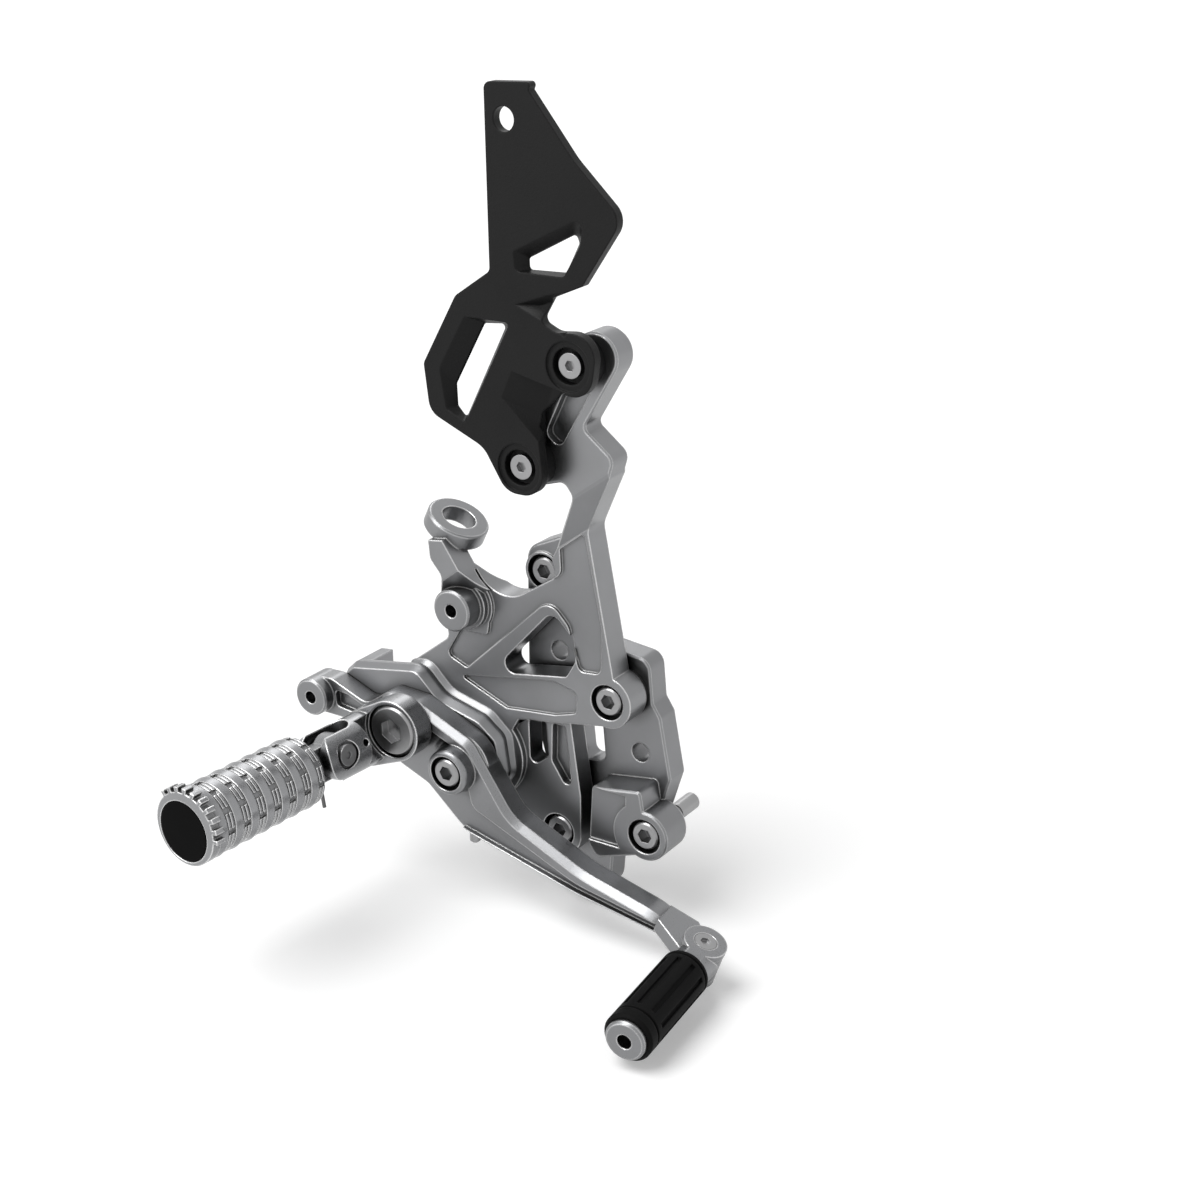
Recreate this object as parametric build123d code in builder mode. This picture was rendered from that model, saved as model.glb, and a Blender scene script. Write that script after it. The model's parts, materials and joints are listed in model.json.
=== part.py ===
from build123d import *
from math import atan2, cos, degrees, hypot, pi, radians, sin
import os

# Right-hand rearset of a motorbike: folding footpeg, brake lever with folding toe peg,
# bracket, frame plate and heel guard.
# X points forward, Z up and -Y outboard. The origin is on the brake lever's pivot axis,
# where it crosses the mounting face that goes against the bike's frame.
# Levels are distances outboard of that mounting face.

# Fits and running gaps
turn_fit = 0.05            # radial, between a pin and what turns on it
bolt_fit = 0.25            # radial, between a fixed bolt and its hole
thread_fit = 0.05          # radial, between a bolt and its tapped hole
side_gap = 0.3             # between faces that slide past each other
head_gap = 1.6             # radial, round a fixed bolt head in its counterbore
edge = 0.8                 # broken edge on machined faces

# Fasteners
m8_r = 4.0
m8_head_r = 6.5
m8_head_h = 8.0
m8_key = 6.0               # across flats of the hexagon socket
m10_r = 5.0
m10_head_r = 12.25
m10_head_h = 6.0
m10_key = 10.0
m10_edge = 1.6
m6_r = 3.0
m6_head_r = 5.25
m6_head_h = 3.3
m6_key = 4.0
key_depth = 0.7            # share of a head's height that its socket takes

# Levels of the stack
plate_t = 12.0             # frame plate
standoff = 3.0             # bosses hold the bracket off the plate
bracket_t = 13.0
neck_rise = 10.0           # the upper neck is stepped this far outboard
neck_t = 12.0
seat_h = 2.0               # raised seat of the peg carrier
carrier_t = 6.0
lever_t = 8.7              # lever web, at its pocket floor
lever_rim_h = 4.0          # ribs round the pocket
eye_gap = 0.5              # peg mount clear of the lever's ribs
eye_t = 10.5

bracket_back = plate_t + standoff
bracket_face = bracket_back + bracket_t
neck_face = bracket_face + neck_rise
neck_back = neck_face - neck_t
carrier_back = bracket_face + seat_h
carrier_face = carrier_back + carrier_t
lever_back = carrier_face + side_gap
lever_floor = lever_back + lever_t
lever_rim = lever_floor + lever_rim_h
eye_back = lever_rim + eye_gap
eye_face = eye_back + eye_t

# Bolt positions, as X and Z
peg_bolt_at = (-26.3, 15.5)
bracket_bolt_at = [(66.1, 39.5), (38.8, -30.5)]
frame_bolt_a = (23.7, 85.9)
frame_bolt_b = (84.5, -20.0)
guard_screw_at = [(61.3, 191.5), (37.3, 145.5)]

os.makedirs("parts", exist_ok=True)


def outboard(level):
    """Plane parallel to the mounting face, this far outboard of it."""
    return Plane.XZ.offset(level)


def rounded(corners):
    """Face inside a closed outline, from rows of x, z and corner radius."""
    with BuildSketch(mode=Mode.PRIVATE) as face:
        with BuildLine():
            Polyline(*[(x, z) for x, z, _ in corners], close=True)
        make_face()
        for x, z, radius in corners:
            if radius > 0:
                fillet(face.vertices().sort_by_distance((x, z))[0], radius)
    return face.sketch


def hexagon_r(across_flats):
    """Corner radius of a hexagon."""
    return across_flats / 2 / cos(pi / 6)


# Frame plate
plate_corners = [
    (14.5, 95.5, 9.0),
    (33.0, 104.0, 5.0),
    (44.0, 98.0, 6.0),
    (50.0, 58.5, 4.0),
    (77.4, 55.6, 6.0),
    (79.2, 36.0, 3.0),
    (83.2, 30.0, 3.0),
    (88.6, 2.0, 3.0),
    (83.0, -16.0, 4.0),
    (59.5, -38.0, 3.0),
    (57.4, -63.5, 9.0),
    (39.5, -63.5, 8.0),
    (14.5, 28.0, 20.0),
]
plate_window = [
    (41.5, 22.5, 3.5),
    (53.5, 25.5, 3.5),
    (55.6, 3.0, 3.5),
    (44.0, 0.5, 3.5),
]
lug_a_r = 9.2
lug_a_rise = 1.0
arm_back = 10.5            # block that carries frame bolt B
arm_face = 27.0
arm_boss_r = 11.6
arm_corners = [
    (56.8, -3.2, 2.5),
    (82.2, 0.8, 2.0),
    (84.0, -9.0, 2.0),
    (90.0, -14.0, 0.0),
    (84.5, -29.0, 0.0),
    (60.0, -37.5, 4.0),
    (55.4, -31.0, 2.0),
]
arm_scoop = 2.0            # hollow in the block's face beside its boss
arm_scoop_at = (62.0, -16.0)
arm_scoop_side = 26.0
arm_scoop_r = 15.5
head_sink = 0.5            # bolt heads lie this far below their counterbores
spare_hole_r = 4.4
spare_holes = [(73.3, 11.5), (31.5, 50.4), (48.0, -54.0), (27.0, 20.0)]
relief_depth = 1.0         # relief in the mounting face between its pads
relief_pad_r = 9.0         # pads left round the bracket bolts
relief_corners = [
    (20.0, 74.0, 6.0),
    (42.0, 74.0, 6.0),
    (76.0, 34.0, 6.0),
    (50.0, -34.0, 6.0),
]

with BuildPart() as frame_plate:
    with BuildSketch(outboard(0)):
        add(rounded(plate_corners))
    extrude(amount=plate_t)
    plate_front = frame_plate.faces().sort_by(Axis.Y)[0]
    chamfer(plate_front.edges(), edge)
    with BuildSketch(outboard(plate_t - edge)):
        with Locations(frame_bolt_a):
            Circle(lug_a_r)
    extrude(amount=lug_a_rise + edge)
    with BuildSketch(outboard(arm_back)):
        add(rounded(arm_corners))
        with Locations(frame_bolt_b):
            Circle(arm_boss_r)
    extrude(amount=arm_face - arm_back)
    block_face = frame_plate.faces().sort_by(Axis.Y)[0]
    chamfer(block_face.edges(), edge)
    with BuildSketch(outboard(arm_face)):
        with Locations(arm_scoop_at):
            Rectangle(arm_scoop_side, arm_scoop_side)
        with Locations(frame_bolt_b):
            Circle(arm_scoop_r, mode=Mode.SUBTRACT)
    extrude(amount=-arm_scoop, mode=Mode.SUBTRACT)
    with Locations(outboard(plate_t + lug_a_rise)):
        with Locations(frame_bolt_a):
            CounterBoreHole(m8_r + bolt_fit, m8_head_r + head_gap, m8_head_h + head_sink)
    with Locations(outboard(arm_face)):
        with Locations(frame_bolt_b):
            CounterBoreHole(m8_r + bolt_fit, m8_head_r + head_gap, m8_head_h + head_sink)
    with Locations(outboard(plate_t)):
        with Locations(*bracket_bolt_at):
            Hole(m8_r + thread_fit)
        with Locations(*spare_holes):
            Hole(spare_hole_r)
    with BuildSketch(outboard(0)):
        add(rounded(plate_window))
    extrude(amount=plate_t, mode=Mode.SUBTRACT)
    with BuildSketch(outboard(0)):
        add(rounded(relief_corners))
        with Locations(*bracket_bolt_at):
            Circle(relief_pad_r, mode=Mode.SUBTRACT)
    extrude(amount=relief_depth, mode=Mode.SUBTRACT)
frame_plate.part.label = "frame_plate"
export_step(frame_plate.part, "parts/frame_plate.step")

# Main bracket
bracket_corners = [
    (80.9, 197.2, 10.0),
    (60.9, 163.2, 3.0),
    (75.4, 152.0, 5.0),
    (72.9, 143.6, 3.0),
    (56.4, 115.6, 6.0),
    (69.3, 50.0, 0.0),
    (69.3, 28.8, 0.0),
    (20.0, 20.4, 0.0),
    (0.0, -14.0, 0.0),
    (-38.0, 6.0, 6.0),
    (-40.5, 33.2, 3.0),
    (-17.0, 51.5, 4.0),
    (-18.6, 66.0, 4.0),
    (-12.0, 84.0, 5.0),
    (-18.6, 91.5, 5.0),
    (-19.4, 100.0, 0.0),
    (-12.0, 101.0, 0.0),
    (8.8, 71.0, 16.5),
    (40.9, 91.9, 5.0),
    (38.2, 99.2, 5.0),
    (55.6, 132.4, 4.0),
    (50.9, 138.6, 4.0),
    (34.0, 133.4, 9.0),
    (25.6, 148.8, 9.0),
    (39.0, 163.6, 6.0),
    (62.3, 207.4, 10.0),
]
neck_holes_r = m6_r + thread_fit
bracket_boss_r = 11.8
standoff_r = 10.5
leg_drop = 3.0             # the leg's face lies below the bar's
leg_corners = [
    (12.0, 12.0, 0.0),
    (30.0, 26.0, 0.0),
    (44.8, 28.0, 0.0),
    (50.6, -10.9, 3.0),
    (50.6, -30.5, 0.0),
    (27.0, -30.5, 0.0),
    (2.0, -16.0, 0.0),
]
leg_slot = [
    (23.4, 21.4, 3.5),
    (32.5, 22.6, 3.0),
    (34.0, 4.5, 3.0),
    (24.0, -3.0, 3.0),
]
leg_pocket = [
    (36.0, 21.5, 1.5),
    (42.6, 21.5, 1.5),
    (47.0, -14.0, 2.5),
    (35.5, 3.0, 2.5),
]
leg_pocket_depth = 4.0
hub_r = 22.0
pivot_pad_r = 13.0         # pad under the pivot nut
window_corners = [
    (38.2, 75.6, 5.0),
    (47.6, 66.6, 4.0),
    (50.4, 55.2, 4.0),
    (45.4, 46.6, 3.0),
    (5.6, 39.8, 4.5),
]
pocket_depth = 1.5
upper_pocket = [
    (42.4, 104.6, 1.0),
    (54.8, 114.2, 1.5),
    (63.4, 72.0, 4.0),
    (63.0, 51.8, 3.5),
    (51.8, 50.6, 3.5),
    (46.4, 70.4, 6.0),
    (36.6, 80.6, 7.0),
    (-7.6, 38.8, 2.0),
    (-18.4, 43.2, 2.5),
    (-10.6, 56.6, 3.0),
    (4.0, 57.0, 2.0),
    (5.6, 66.6, 14.0),
    (-6.6, 83.6, 1.5),
    (-1.4, 87.2, 1.5),
    (9.4, 74.0, 13.0),
    (43.0, 93.0, 5.0),
]
lower_pocket = [
    (-12.0, 34.6, 1.0),
    (38.0, 43.2, 6.0),
    (50.6, 40.4, 3.0),
    (50.4, 30.6, 2.0),
    (39.4, 27.2, 4.0),
    (13.6, 24.4, 1.0),
]
seat_corners = [
    (-39.0, 36.0, 3.0),
    (-27.6, 38.6, 9.0),
    (-15.6, 26.8, 14.0),
    (6.0, 21.4, 12.0),
    (16.4, 12.4, 6.0),
    (18.6, -6.0, 8.0),
    (10.0, -18.0, 8.0),
    (-10.0, -18.0, 8.0),
    (-38.0, 8.0, 6.0),
]
ear_groove = [
    (42.6, 158.2, 3.6),
    (49.6, 152.6, 3.6),
    (66.0, 181.6, 3.6),
    (55.0, 184.6, 3.6),
]
ear_groove_depth = 4.0
cylinder_boss_at = (-6.7, 70.0)
cylinder_boss_r = 9.5
cylinder_boss_h = 12.0
cylinder_base_r = 11.5
cylinder_base_h = 3.0

# Fold lines of the neck, in the bracket's face and in the neck's face
fold_low = (56.2, 115.9)
fold_high = (72.9, 145.4)
fold_angle = 36.5          # slope of both fold lines

# Ring eye at the top of the left arm
ring_at = (-14.5, 106.5)   # centre of its top face
ring_level = 21.5
ring_tilt = 25.5           # the ring leans forward
ring_r = 14.0
ring_bore_r = 7.75
ring_t = 7.8

fold_plane = Plane(
    origin=(fold_low[0], 0, fold_low[1]),
    x_dir=(-sin(radians(fold_angle)), 0, cos(radians(fold_angle))),
    z_dir=(cos(radians(fold_angle)), 0, sin(radians(fold_angle))),
)
fold_rise = (fold_high[1] - fold_low[1]) * cos(radians(fold_angle)) - (
    fold_high[0] - fold_low[0]
) * sin(radians(fold_angle))
fold_reach = 160.0
ring_plane = Plane(
    origin=(ring_at[0], -ring_level, ring_at[1]),
    x_dir=(0, -1, 0),
    z_dir=(sin(radians(ring_tilt)), 0, cos(radians(ring_tilt))),
)

with BuildPart() as main_bracket:
    with BuildSketch(outboard(bracket_back)):
        add(rounded(bracket_corners))
        Circle(hub_r)
        with Locations(bracket_bolt_at[0]):
            Circle(bracket_boss_r)
    extrude(amount=neck_face - bracket_back)
    with BuildSketch(fold_plane):
        with BuildLine():
            Polyline(
                (-fold_reach, bracket_back),
                (0.0, bracket_back),
                (fold_rise, neck_back),
                (fold_reach, neck_back),
                (fold_reach, neck_face),
                (fold_rise, neck_face),
                (0.0, bracket_face),
                (-fold_reach, bracket_face),
                close=True,
            )
        make_face()
    extrude(amount=fold_reach, both=True, mode=Mode.INTERSECT)
    front_edges = main_bracket.faces().filter_by(Axis.Y).sort_by(Axis.Y)
    chamfer(front_edges[0].edges(), edge)
    with BuildSketch(outboard(bracket_back)):
        add(rounded(leg_corners))
        with Locations(bracket_bolt_at[1]):
            Circle(bracket_boss_r)
    extrude(amount=bracket_t - leg_drop)
    with BuildPart(mode=Mode.PRIVATE) as carrier_seat:
        with BuildSketch(outboard(bracket_face - 1.0)):
            add(rounded(seat_corners))
        extrude(amount=seat_h + 1.0)
        chamfer(carrier_seat.faces().sort_by(Axis.Y)[0].edges(), seat_h)
    add(carrier_seat.part)
    with BuildSketch(outboard(bracket_face)):
        add(rounded(window_corners))
    extrude(amount=-bracket_t, mode=Mode.SUBTRACT)
    with BuildSketch(outboard(bracket_face)):
        add(rounded(upper_pocket))
        with Locations(cylinder_boss_at):
            Circle(cylinder_base_r + 2.0, mode=Mode.SUBTRACT)
        add(rounded(lower_pocket))
    extrude(amount=-pocket_depth, mode=Mode.SUBTRACT)
    with BuildSketch(outboard(bracket_face)):
        add(rounded(leg_slot))
    extrude(amount=-bracket_t, mode=Mode.SUBTRACT)
    with BuildSketch(outboard(bracket_face - leg_drop)):
        add(rounded(leg_pocket))
    extrude(amount=-leg_pocket_depth, mode=Mode.SUBTRACT)
    with BuildSketch(outboard(neck_face)):
        add(rounded(ear_groove))
    extrude(amount=-ear_groove_depth, mode=Mode.SUBTRACT)
    with BuildSketch(outboard(bracket_face - pocket_depth)):
        with Locations(cylinder_boss_at):
            Circle(cylinder_base_r)
    extrude(amount=pocket_depth + cylinder_base_h)
    with BuildSketch(outboard(bracket_face)):
        with Locations(cylinder_boss_at):
            Circle(cylinder_boss_r)
    extrude(amount=cylinder_boss_h)
    boss_front = main_bracket.faces().filter_by(Axis.Y).filter_by_position(
        Axis.Y, -bracket_face - cylinder_boss_h - 0.01, -bracket_face - cylinder_boss_h + 0.01
    )
    chamfer(boss_front.edges(), edge)
    with BuildSketch(ring_plane):
        Circle(ring_r)
    extrude(amount=-ring_t)
    ring_faces = main_bracket.faces().filter_by(
        lambda face: face.geom_type == GeomType.PLANE
        and abs(face.normal_at().dot(ring_plane.z_dir)) > 0.999
    )
    chamfer(ring_faces.edges().filter_by(GeomType.CIRCLE), edge)
    with Locations(ring_plane):
        Hole(ring_bore_r, depth=ring_t)
    with BuildSketch(outboard(plate_t)):
        with Locations(*bracket_bolt_at):
            Circle(standoff_r)
        Circle(pivot_pad_r)
    extrude(amount=standoff + 0.5)
    with Locations(outboard(bracket_face)):
        with Locations(bracket_bolt_at[0]):
            CounterBoreHole(m8_r + bolt_fit, m8_head_r + head_gap, m8_head_h + head_sink)
    with Locations(outboard(bracket_face - leg_drop)):
        with Locations(bracket_bolt_at[1]):
            CounterBoreHole(m8_r + bolt_fit, m8_head_r + head_gap, m8_head_h + head_sink)
    with Locations(outboard(neck_face)):
        with Locations(*guard_screw_at):
            Hole(neck_holes_r)
    with Locations(outboard(carrier_back)):
        Hole(m8_r + bolt_fit)
        with Locations(peg_bolt_at):
            Hole(m10_r + thread_fit)
    with Locations(outboard(bracket_face + cylinder_boss_h)):
        with Locations(cylinder_boss_at):
            Hole(m6_r)
main_bracket.part.label = "main_bracket"
export_step(main_bracket.part, "parts/main_bracket.step")

# Peg carrier
carrier_corners = [
    (-73.0, 24.4, 2.0),
    (-67.0, 30.2, 3.5),
    (-29.6, 36.8, 9.0),
    (-17.2, 24.8, 14.0),
    (4.5, 19.6, 12.0),
    (14.5, 12.0, 6.0),
    (17.2, -6.0, 8.0),
    (10.0, -17.0, 8.0),
    (-10.0, -17.0, 8.0),
    (-44.0, 3.0, 8.0),
    (-69.5, 15.5, 2.0),
]
tab_corners = [
    (-73.0, 24.4, 2.0),
    (-67.0, 30.2, 3.5),
    (-60.0, 31.05, 0.5),
    (-60.0, 17.0, 2.0),
    (-67.0, 15.5, 2.0),
]
tab_t = 22.0               # the carrier's rear end is this thick
slope_w = 2.0              # the carrier's edge slopes in this far over this height
slope_h = 4.0

with BuildPart() as peg_carrier:
    with BuildSketch(outboard(carrier_back)):
        add(rounded(carrier_corners))
    extrude(amount=carrier_t)
    with BuildSketch(outboard(carrier_face)):
        add(rounded(tab_corners))
    extrude(amount=-tab_t)
    carrier_front = peg_carrier.faces().sort_by(Axis.Y)[0]
    chamfer(carrier_front.edges(), slope_w, slope_h, reference=carrier_front)
    with Locations(outboard(carrier_face)):
        Hole(m8_r + bolt_fit)
        with Locations(peg_bolt_at):
            Hole(m10_r + bolt_fit)
peg_carrier.part.label = "peg_carrier"
export_step(peg_carrier.part, "parts/peg_carrier.step")

# Brake lever
lever_corners = [
    (-86.5, 24.6, 8.0),
    (-71.0, 25.4, 6.0),
    (-51.0, 17.6, 8.0),
    (-39.0, 26.4, 6.0),
    (-21.0, 25.6, 10.0),
    (8.0, 13.4, 10.0),
    (29.0, -17.0, 22.0),
    (66.0, -33.4, 60.0),
    (101.0, -42.2, 24.0),
    (116.6, -50.6, 3.0),
    (112.4, -57.6, 3.0),
    (102.0, -52.4, 10.0),
    (62.0, -46.0, 60.0),
    (2.0, -31.2, 22.0),
    (-18.0, -13.6, 10.0),
    (-33.0, -7.6, 12.0),
    (-54.0, 7.4, 14.0),
    (-86.5, 8.0, 8.0),
]
rod_boss_at = (-78.7, 16.4)
rod_boss_r = 8.8
rod_boss_h = 6.0
rod_hole_r = 3.0
rear_arm_drop = 3.0        # the rear arm is thinner than the rest
rear_arm_end = -41.0
bevel = 2.8                # bright bevel along the lever's upper edge
boss_root_r = 15.6         # pivot boss, from its blended root to its face
boss_side_r = 11.2
boss_face_r = 10.4
boss_h = 11.0              # pivot boss face above the pocket floor
boss_profile = [
    (0.0, -lever_back - 1.0, 0.0),
    (boss_root_r, -lever_back - 1.0, 0.0),
    (boss_root_r, -lever_floor, 0.0),
    (boss_side_r, -lever_floor, 4.2),
    (boss_face_r, -lever_floor - boss_h, 2.0),
    (0.0, -lever_floor - boss_h, 0.0),
]
pocket_corners = [
    (-46.0, 12.0, 3.0),
    (-40.0, 19.6, 3.0),
    (-23.0, 19.0, 6.0),
    (3.0, 8.6, 8.0),
    (9.0, -17.0, 6.0),
    (42.2, -30.6, 60.0),
    (63.1, -39.3, 60.0),
    (105.4, -46.8, 2.0),
    (106.0, -51.8, 2.0),
    (62.0, -44.0, 60.0),
    (2.0, -29.4, 1.5),
    (-4.0, -37.0, 0.5),
    (-30.0, -20.0, 0.5),
    (-60.0, -2.0, 0.5),
]
rear_pocket = [
    (-69.0, 20.4, 2.0),
    (-62.0, 19.8, 3.0),
    (-48.0, 14.4, 1.2),
    (-50.0, 10.4, 1.2),
    (-68.4, 12.6, 2.0),
]
rear_pocket_depth = 3.0
bush_r = 6.0
bush_flange = 0.2          # end float of the lever under the washer
washer_t = 1.2
washer_r = 7.4
boss_bore_r = 8.1          # bore round the pivot bolt's head
spigot_r = 7.0
slot_gap = 0.7             # spigot clear of its slot in the lever
lever_swing = 8.0          # degrees, toe down
slot_spare = 1.5           # degrees of slot past each end of the swing
lever_bore_floor = lever_floor + boss_h - m8_head_h - washer_t - 0.4
nub_at = (4.4, -41.0)      # stop screw under the lever, as X and Y
nub_r = 2.5
nub_end = -36.5
nub_depth = 14.0

# Toe peg frame: its hinge leans forward, and the peg runs outboard from it
toe_hinge_at = (129.5, -56.0, -50.5)
toe_tilt = 20.0
toe_yaw = 5.0
toe_up = Vector(sin(radians(toe_tilt)), 0, cos(radians(toe_tilt)))
toe_out = Vector(0, -1, 0).rotate(Axis((0, 0, 0), toe_up), toe_yaw)
toe_plane = Plane(origin=toe_hinge_at, x_dir=toe_out, z_dir=toe_up)
toe_bolt_r = 3.0
toe_eye_r = 8.0
tongue_top = 0.0
tongue_t = 6.4

slot_r = spigot_r + slot_gap
slot_centre_r = hypot(*peg_bolt_at)
slot_angle = degrees(atan2(peg_bolt_at[1], peg_bolt_at[0]))
slot_arc = CenterArc(
    (0, 0), slot_centre_r, slot_angle - slot_spare, lever_swing + 2 * slot_spare
)

with BuildPart() as brake_lever:
    with BuildSketch(outboard(lever_back)):
        add(rounded(lever_corners))
    extrude(amount=lever_rim - lever_back)
    rim_edges = brake_lever.faces().sort_by(Axis.Y)[0].edges()
    chamfer(rim_edges, bevel)
    with BuildSketch(outboard(lever_rim)):
        add(rounded(pocket_corners))
    extrude(amount=-lever_rim_h, mode=Mode.SUBTRACT)
    with BuildSketch(outboard(lever_rim)):
        with Locations((rear_arm_end - 30.0, 16.0)):
            Rectangle(60.0, 40.0)
    extrude(amount=-rear_arm_drop, mode=Mode.SUBTRACT)
    with BuildSketch(outboard(lever_rim - rear_arm_drop)):
        add(rounded(rear_pocket))
    extrude(amount=-rear_pocket_depth, mode=Mode.SUBTRACT)
    with BuildSketch(outboard(lever_back)):
        with Locations(rod_boss_at):
            Circle(rod_boss_r)
    extrude(amount=lever_rim - rear_arm_drop - lever_back + rod_boss_h)
    chamfer(brake_lever.faces().sort_by(Axis.Y)[0].edges(), edge)
    with BuildSketch(Plane.XY):
        add(rounded(boss_profile))
    revolve(axis=Axis.Y)
    with BuildSketch(toe_plane.offset(tongue_top)):
        with BuildLine():
            Polyline(
                (toe_hinge_at[1] + lever_back, -10.0),
                (toe_hinge_at[1] + lever_back, -24.0),
                (toe_hinge_at[1] + lever_rim, -24.0),
                (2.2, -toe_eye_r + 0.3),
                (-5.5, toe_eye_r - 2.2),
                close=True,
            )
        make_face()
        Circle(toe_eye_r)
    extrude(amount=-tongue_t)
    with Locations(toe_plane.offset(tongue_top)):
        Hole(toe_bolt_r + turn_fit, depth=tongue_t)
    with BuildSketch(Plane.XY.offset(nub_end)):
        with Locations(nub_at):
            Circle(nub_r + thread_fit)
    extrude(amount=nub_depth, mode=Mode.SUBTRACT)
    with Locations(outboard(lever_floor + boss_h)):
        CounterBoreHole(bush_r + turn_fit, boss_bore_r, lever_floor + boss_h - lever_bore_floor)
    with Locations(outboard(lever_rim - rear_arm_drop + rod_boss_h)):
        with Locations(rod_boss_at):
            Hole(rod_hole_r)
    with BuildSketch(outboard(lever_rim)):
        SlotArc(slot_arc, 2 * slot_r)
    extrude(amount=-(lever_rim - lever_back), mode=Mode.SUBTRACT)
brake_lever.part.label = "brake_lever"
export_step(brake_lever.part, "parts/brake_lever.step")

# Pivot of the brake lever
head_level = lever_bore_floor + bush_flange + washer_t
pivot_nut_h = 7.0
pivot_nut_key = 13.0
pivot_nut_flange_r = 8.6
pivot_nut_flange_t = 1.6
pivot_bolt_end = plate_t - pivot_nut_h - 1.0

with BuildPart() as pivot_bush:
    with BuildSketch(outboard(carrier_face)):
        Circle(bush_r)
        Circle(m8_r + turn_fit, mode=Mode.SUBTRACT)
    extrude(amount=lever_bore_floor + bush_flange - carrier_face)
pivot_bush.part.label = "pivot_bush"
export_step(pivot_bush.part, "parts/pivot_bush.step")

with BuildPart() as pivot_washer:
    with BuildSketch(outboard(head_level)):
        Circle(washer_r)
        Circle(m8_r + bolt_fit, mode=Mode.SUBTRACT)
    extrude(amount=-washer_t)
pivot_washer.part.label = "pivot_washer"
export_step(pivot_washer.part, "parts/pivot_washer.step")

with BuildPart() as pivot_bolt:
    with BuildSketch(outboard(pivot_bolt_end)):
        Circle(m8_r)
    extrude(amount=head_level - pivot_bolt_end)
    with BuildSketch(outboard(head_level)):
        Circle(m8_head_r)
    extrude(amount=m8_head_h)
    chamfer(pivot_bolt.faces().sort_by(Axis.Y)[0].edges(), edge)
    with BuildSketch(outboard(head_level + m8_head_h)):
        RegularPolygon(hexagon_r(m8_key), 6)
    extrude(amount=-m8_head_h * key_depth, mode=Mode.SUBTRACT)
pivot_bolt.part.label = "pivot_bolt"
export_step(pivot_bolt.part, "parts/pivot_bolt.step")

with BuildPart() as pivot_nut:
    with BuildSketch(outboard(plate_t)):
        Circle(pivot_nut_flange_r)
    extrude(amount=-pivot_nut_flange_t)
    with BuildSketch(outboard(plate_t)):
        RegularPolygon(hexagon_r(pivot_nut_key), 6)
    extrude(amount=-pivot_nut_h)
    chamfer(pivot_nut.faces().sort_by(Axis.Y)[-1].edges(), edge)
    with BuildSketch(outboard(plate_t)):
        Circle(m8_r + thread_fit)
    extrude(amount=-pivot_nut_h, mode=Mode.SUBTRACT)
pivot_nut.part.label = "pivot_nut"
export_step(pivot_nut.part, "parts/pivot_nut.step")

with BuildPart() as lever_stop_screw:
    with BuildSketch(Plane.XY.offset(nub_end - 2.0)):
        with Locations(nub_at):
            Circle(nub_r)
    extrude(amount=nub_depth + 1.0)
    chamfer(lever_stop_screw.faces().sort_by(Axis.Z)[0].edges(), edge)
lever_stop_screw.part.label = "lever_stop_screw"
export_step(lever_stop_screw.part, "parts/lever_stop_screw.step")


def socket_bolt(start, seat, waist=None):
    """M8 socket head bolt from its tip's level to its seat, slimmer past the level of its waist."""
    with BuildPart() as bolt:
        with BuildSketch(outboard(start)):
            Circle(m8_r)
        extrude(amount=(seat if waist is None else waist) - start)
        chamfer(bolt.faces().sort_by(Axis.Y)[-1].edges(), edge)
        if waist is not None:
            with BuildSketch(outboard(waist)):
                Circle(waist_r)
            extrude(amount=seat - waist)
        with BuildSketch(outboard(seat)):
            Circle(m8_head_r)
        extrude(amount=m8_head_h)
        chamfer(bolt.faces().sort_by(Axis.Y)[0].edges(), edge)
        with BuildSketch(outboard(seat + m8_head_h)):
            RegularPolygon(hexagon_r(m8_key), 6)
        extrude(amount=-m8_head_h * key_depth, mode=Mode.SUBTRACT)
    return bolt.part


def placed(part, at):
    """Copy of a piece made on the pivot axis, moved to a position in X and Z."""
    return part.moved(Location((at[0], 0, at[1])))


# Bracket bolts and frame bolts
bracket_bolt_end = 1.5
frame_bolt_end = -15.0     # frame bolts stand out inboard
waist_r = 3.5              # and are waisted inside the plate
bracket_seats = [
    bracket_face - m8_head_h - head_sink,
    bracket_face - leg_drop - m8_head_h - head_sink,
]
frame_seats = [
    plate_t + lug_a_rise - m8_head_h - head_sink,
    arm_face - m8_head_h - head_sink,
]
with BuildPart() as bracket_bolts:
    for at, seat in zip(bracket_bolt_at, bracket_seats):
        add(placed(socket_bolt(bracket_bolt_end, seat), at))
bracket_bolts.part.label = "bracket_bolts"
export_step(bracket_bolts.part, "parts/bracket_bolts.step")

with BuildPart() as frame_bolts:
    for at, seat in zip((frame_bolt_a, frame_bolt_b), frame_seats):
        add(placed(socket_bolt(frame_bolt_end, seat, 0.0), at))
frame_bolts.part.label = "frame_bolts"
export_step(frame_bolts.part, "parts/frame_bolts.step")

# Footpeg frame: hinge axis along x, up along y, peg outward along z
peg_hinge_at = (-43.0, -83.0, 8.6)
peg_yaw = 3.7              # the peg points slightly rearward
peg_roll = 10.0            # the hinge rises forward
peg_out = Vector(0, -1, 0).rotate(Axis.Z, -peg_yaw)
peg_level = Vector(1, 0, 0).rotate(Axis.Z, -peg_yaw)
hinge_dir = peg_level * cos(radians(peg_roll)) + Vector(0, 0, sin(radians(peg_roll)))
peg_plane = Plane(origin=peg_hinge_at, x_dir=hinge_dir, z_dir=peg_out)
peg_up = peg_plane.y_dir
cheek_plane = Plane(origin=peg_hinge_at, x_dir=peg_out, z_dir=-hinge_dir)
turning_plane = Plane(origin=peg_hinge_at, x_dir=hinge_dir, z_dir=-peg_up)
top_plane = Plane(origin=peg_hinge_at, x_dir=peg_out, z_dir=peg_up)

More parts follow.
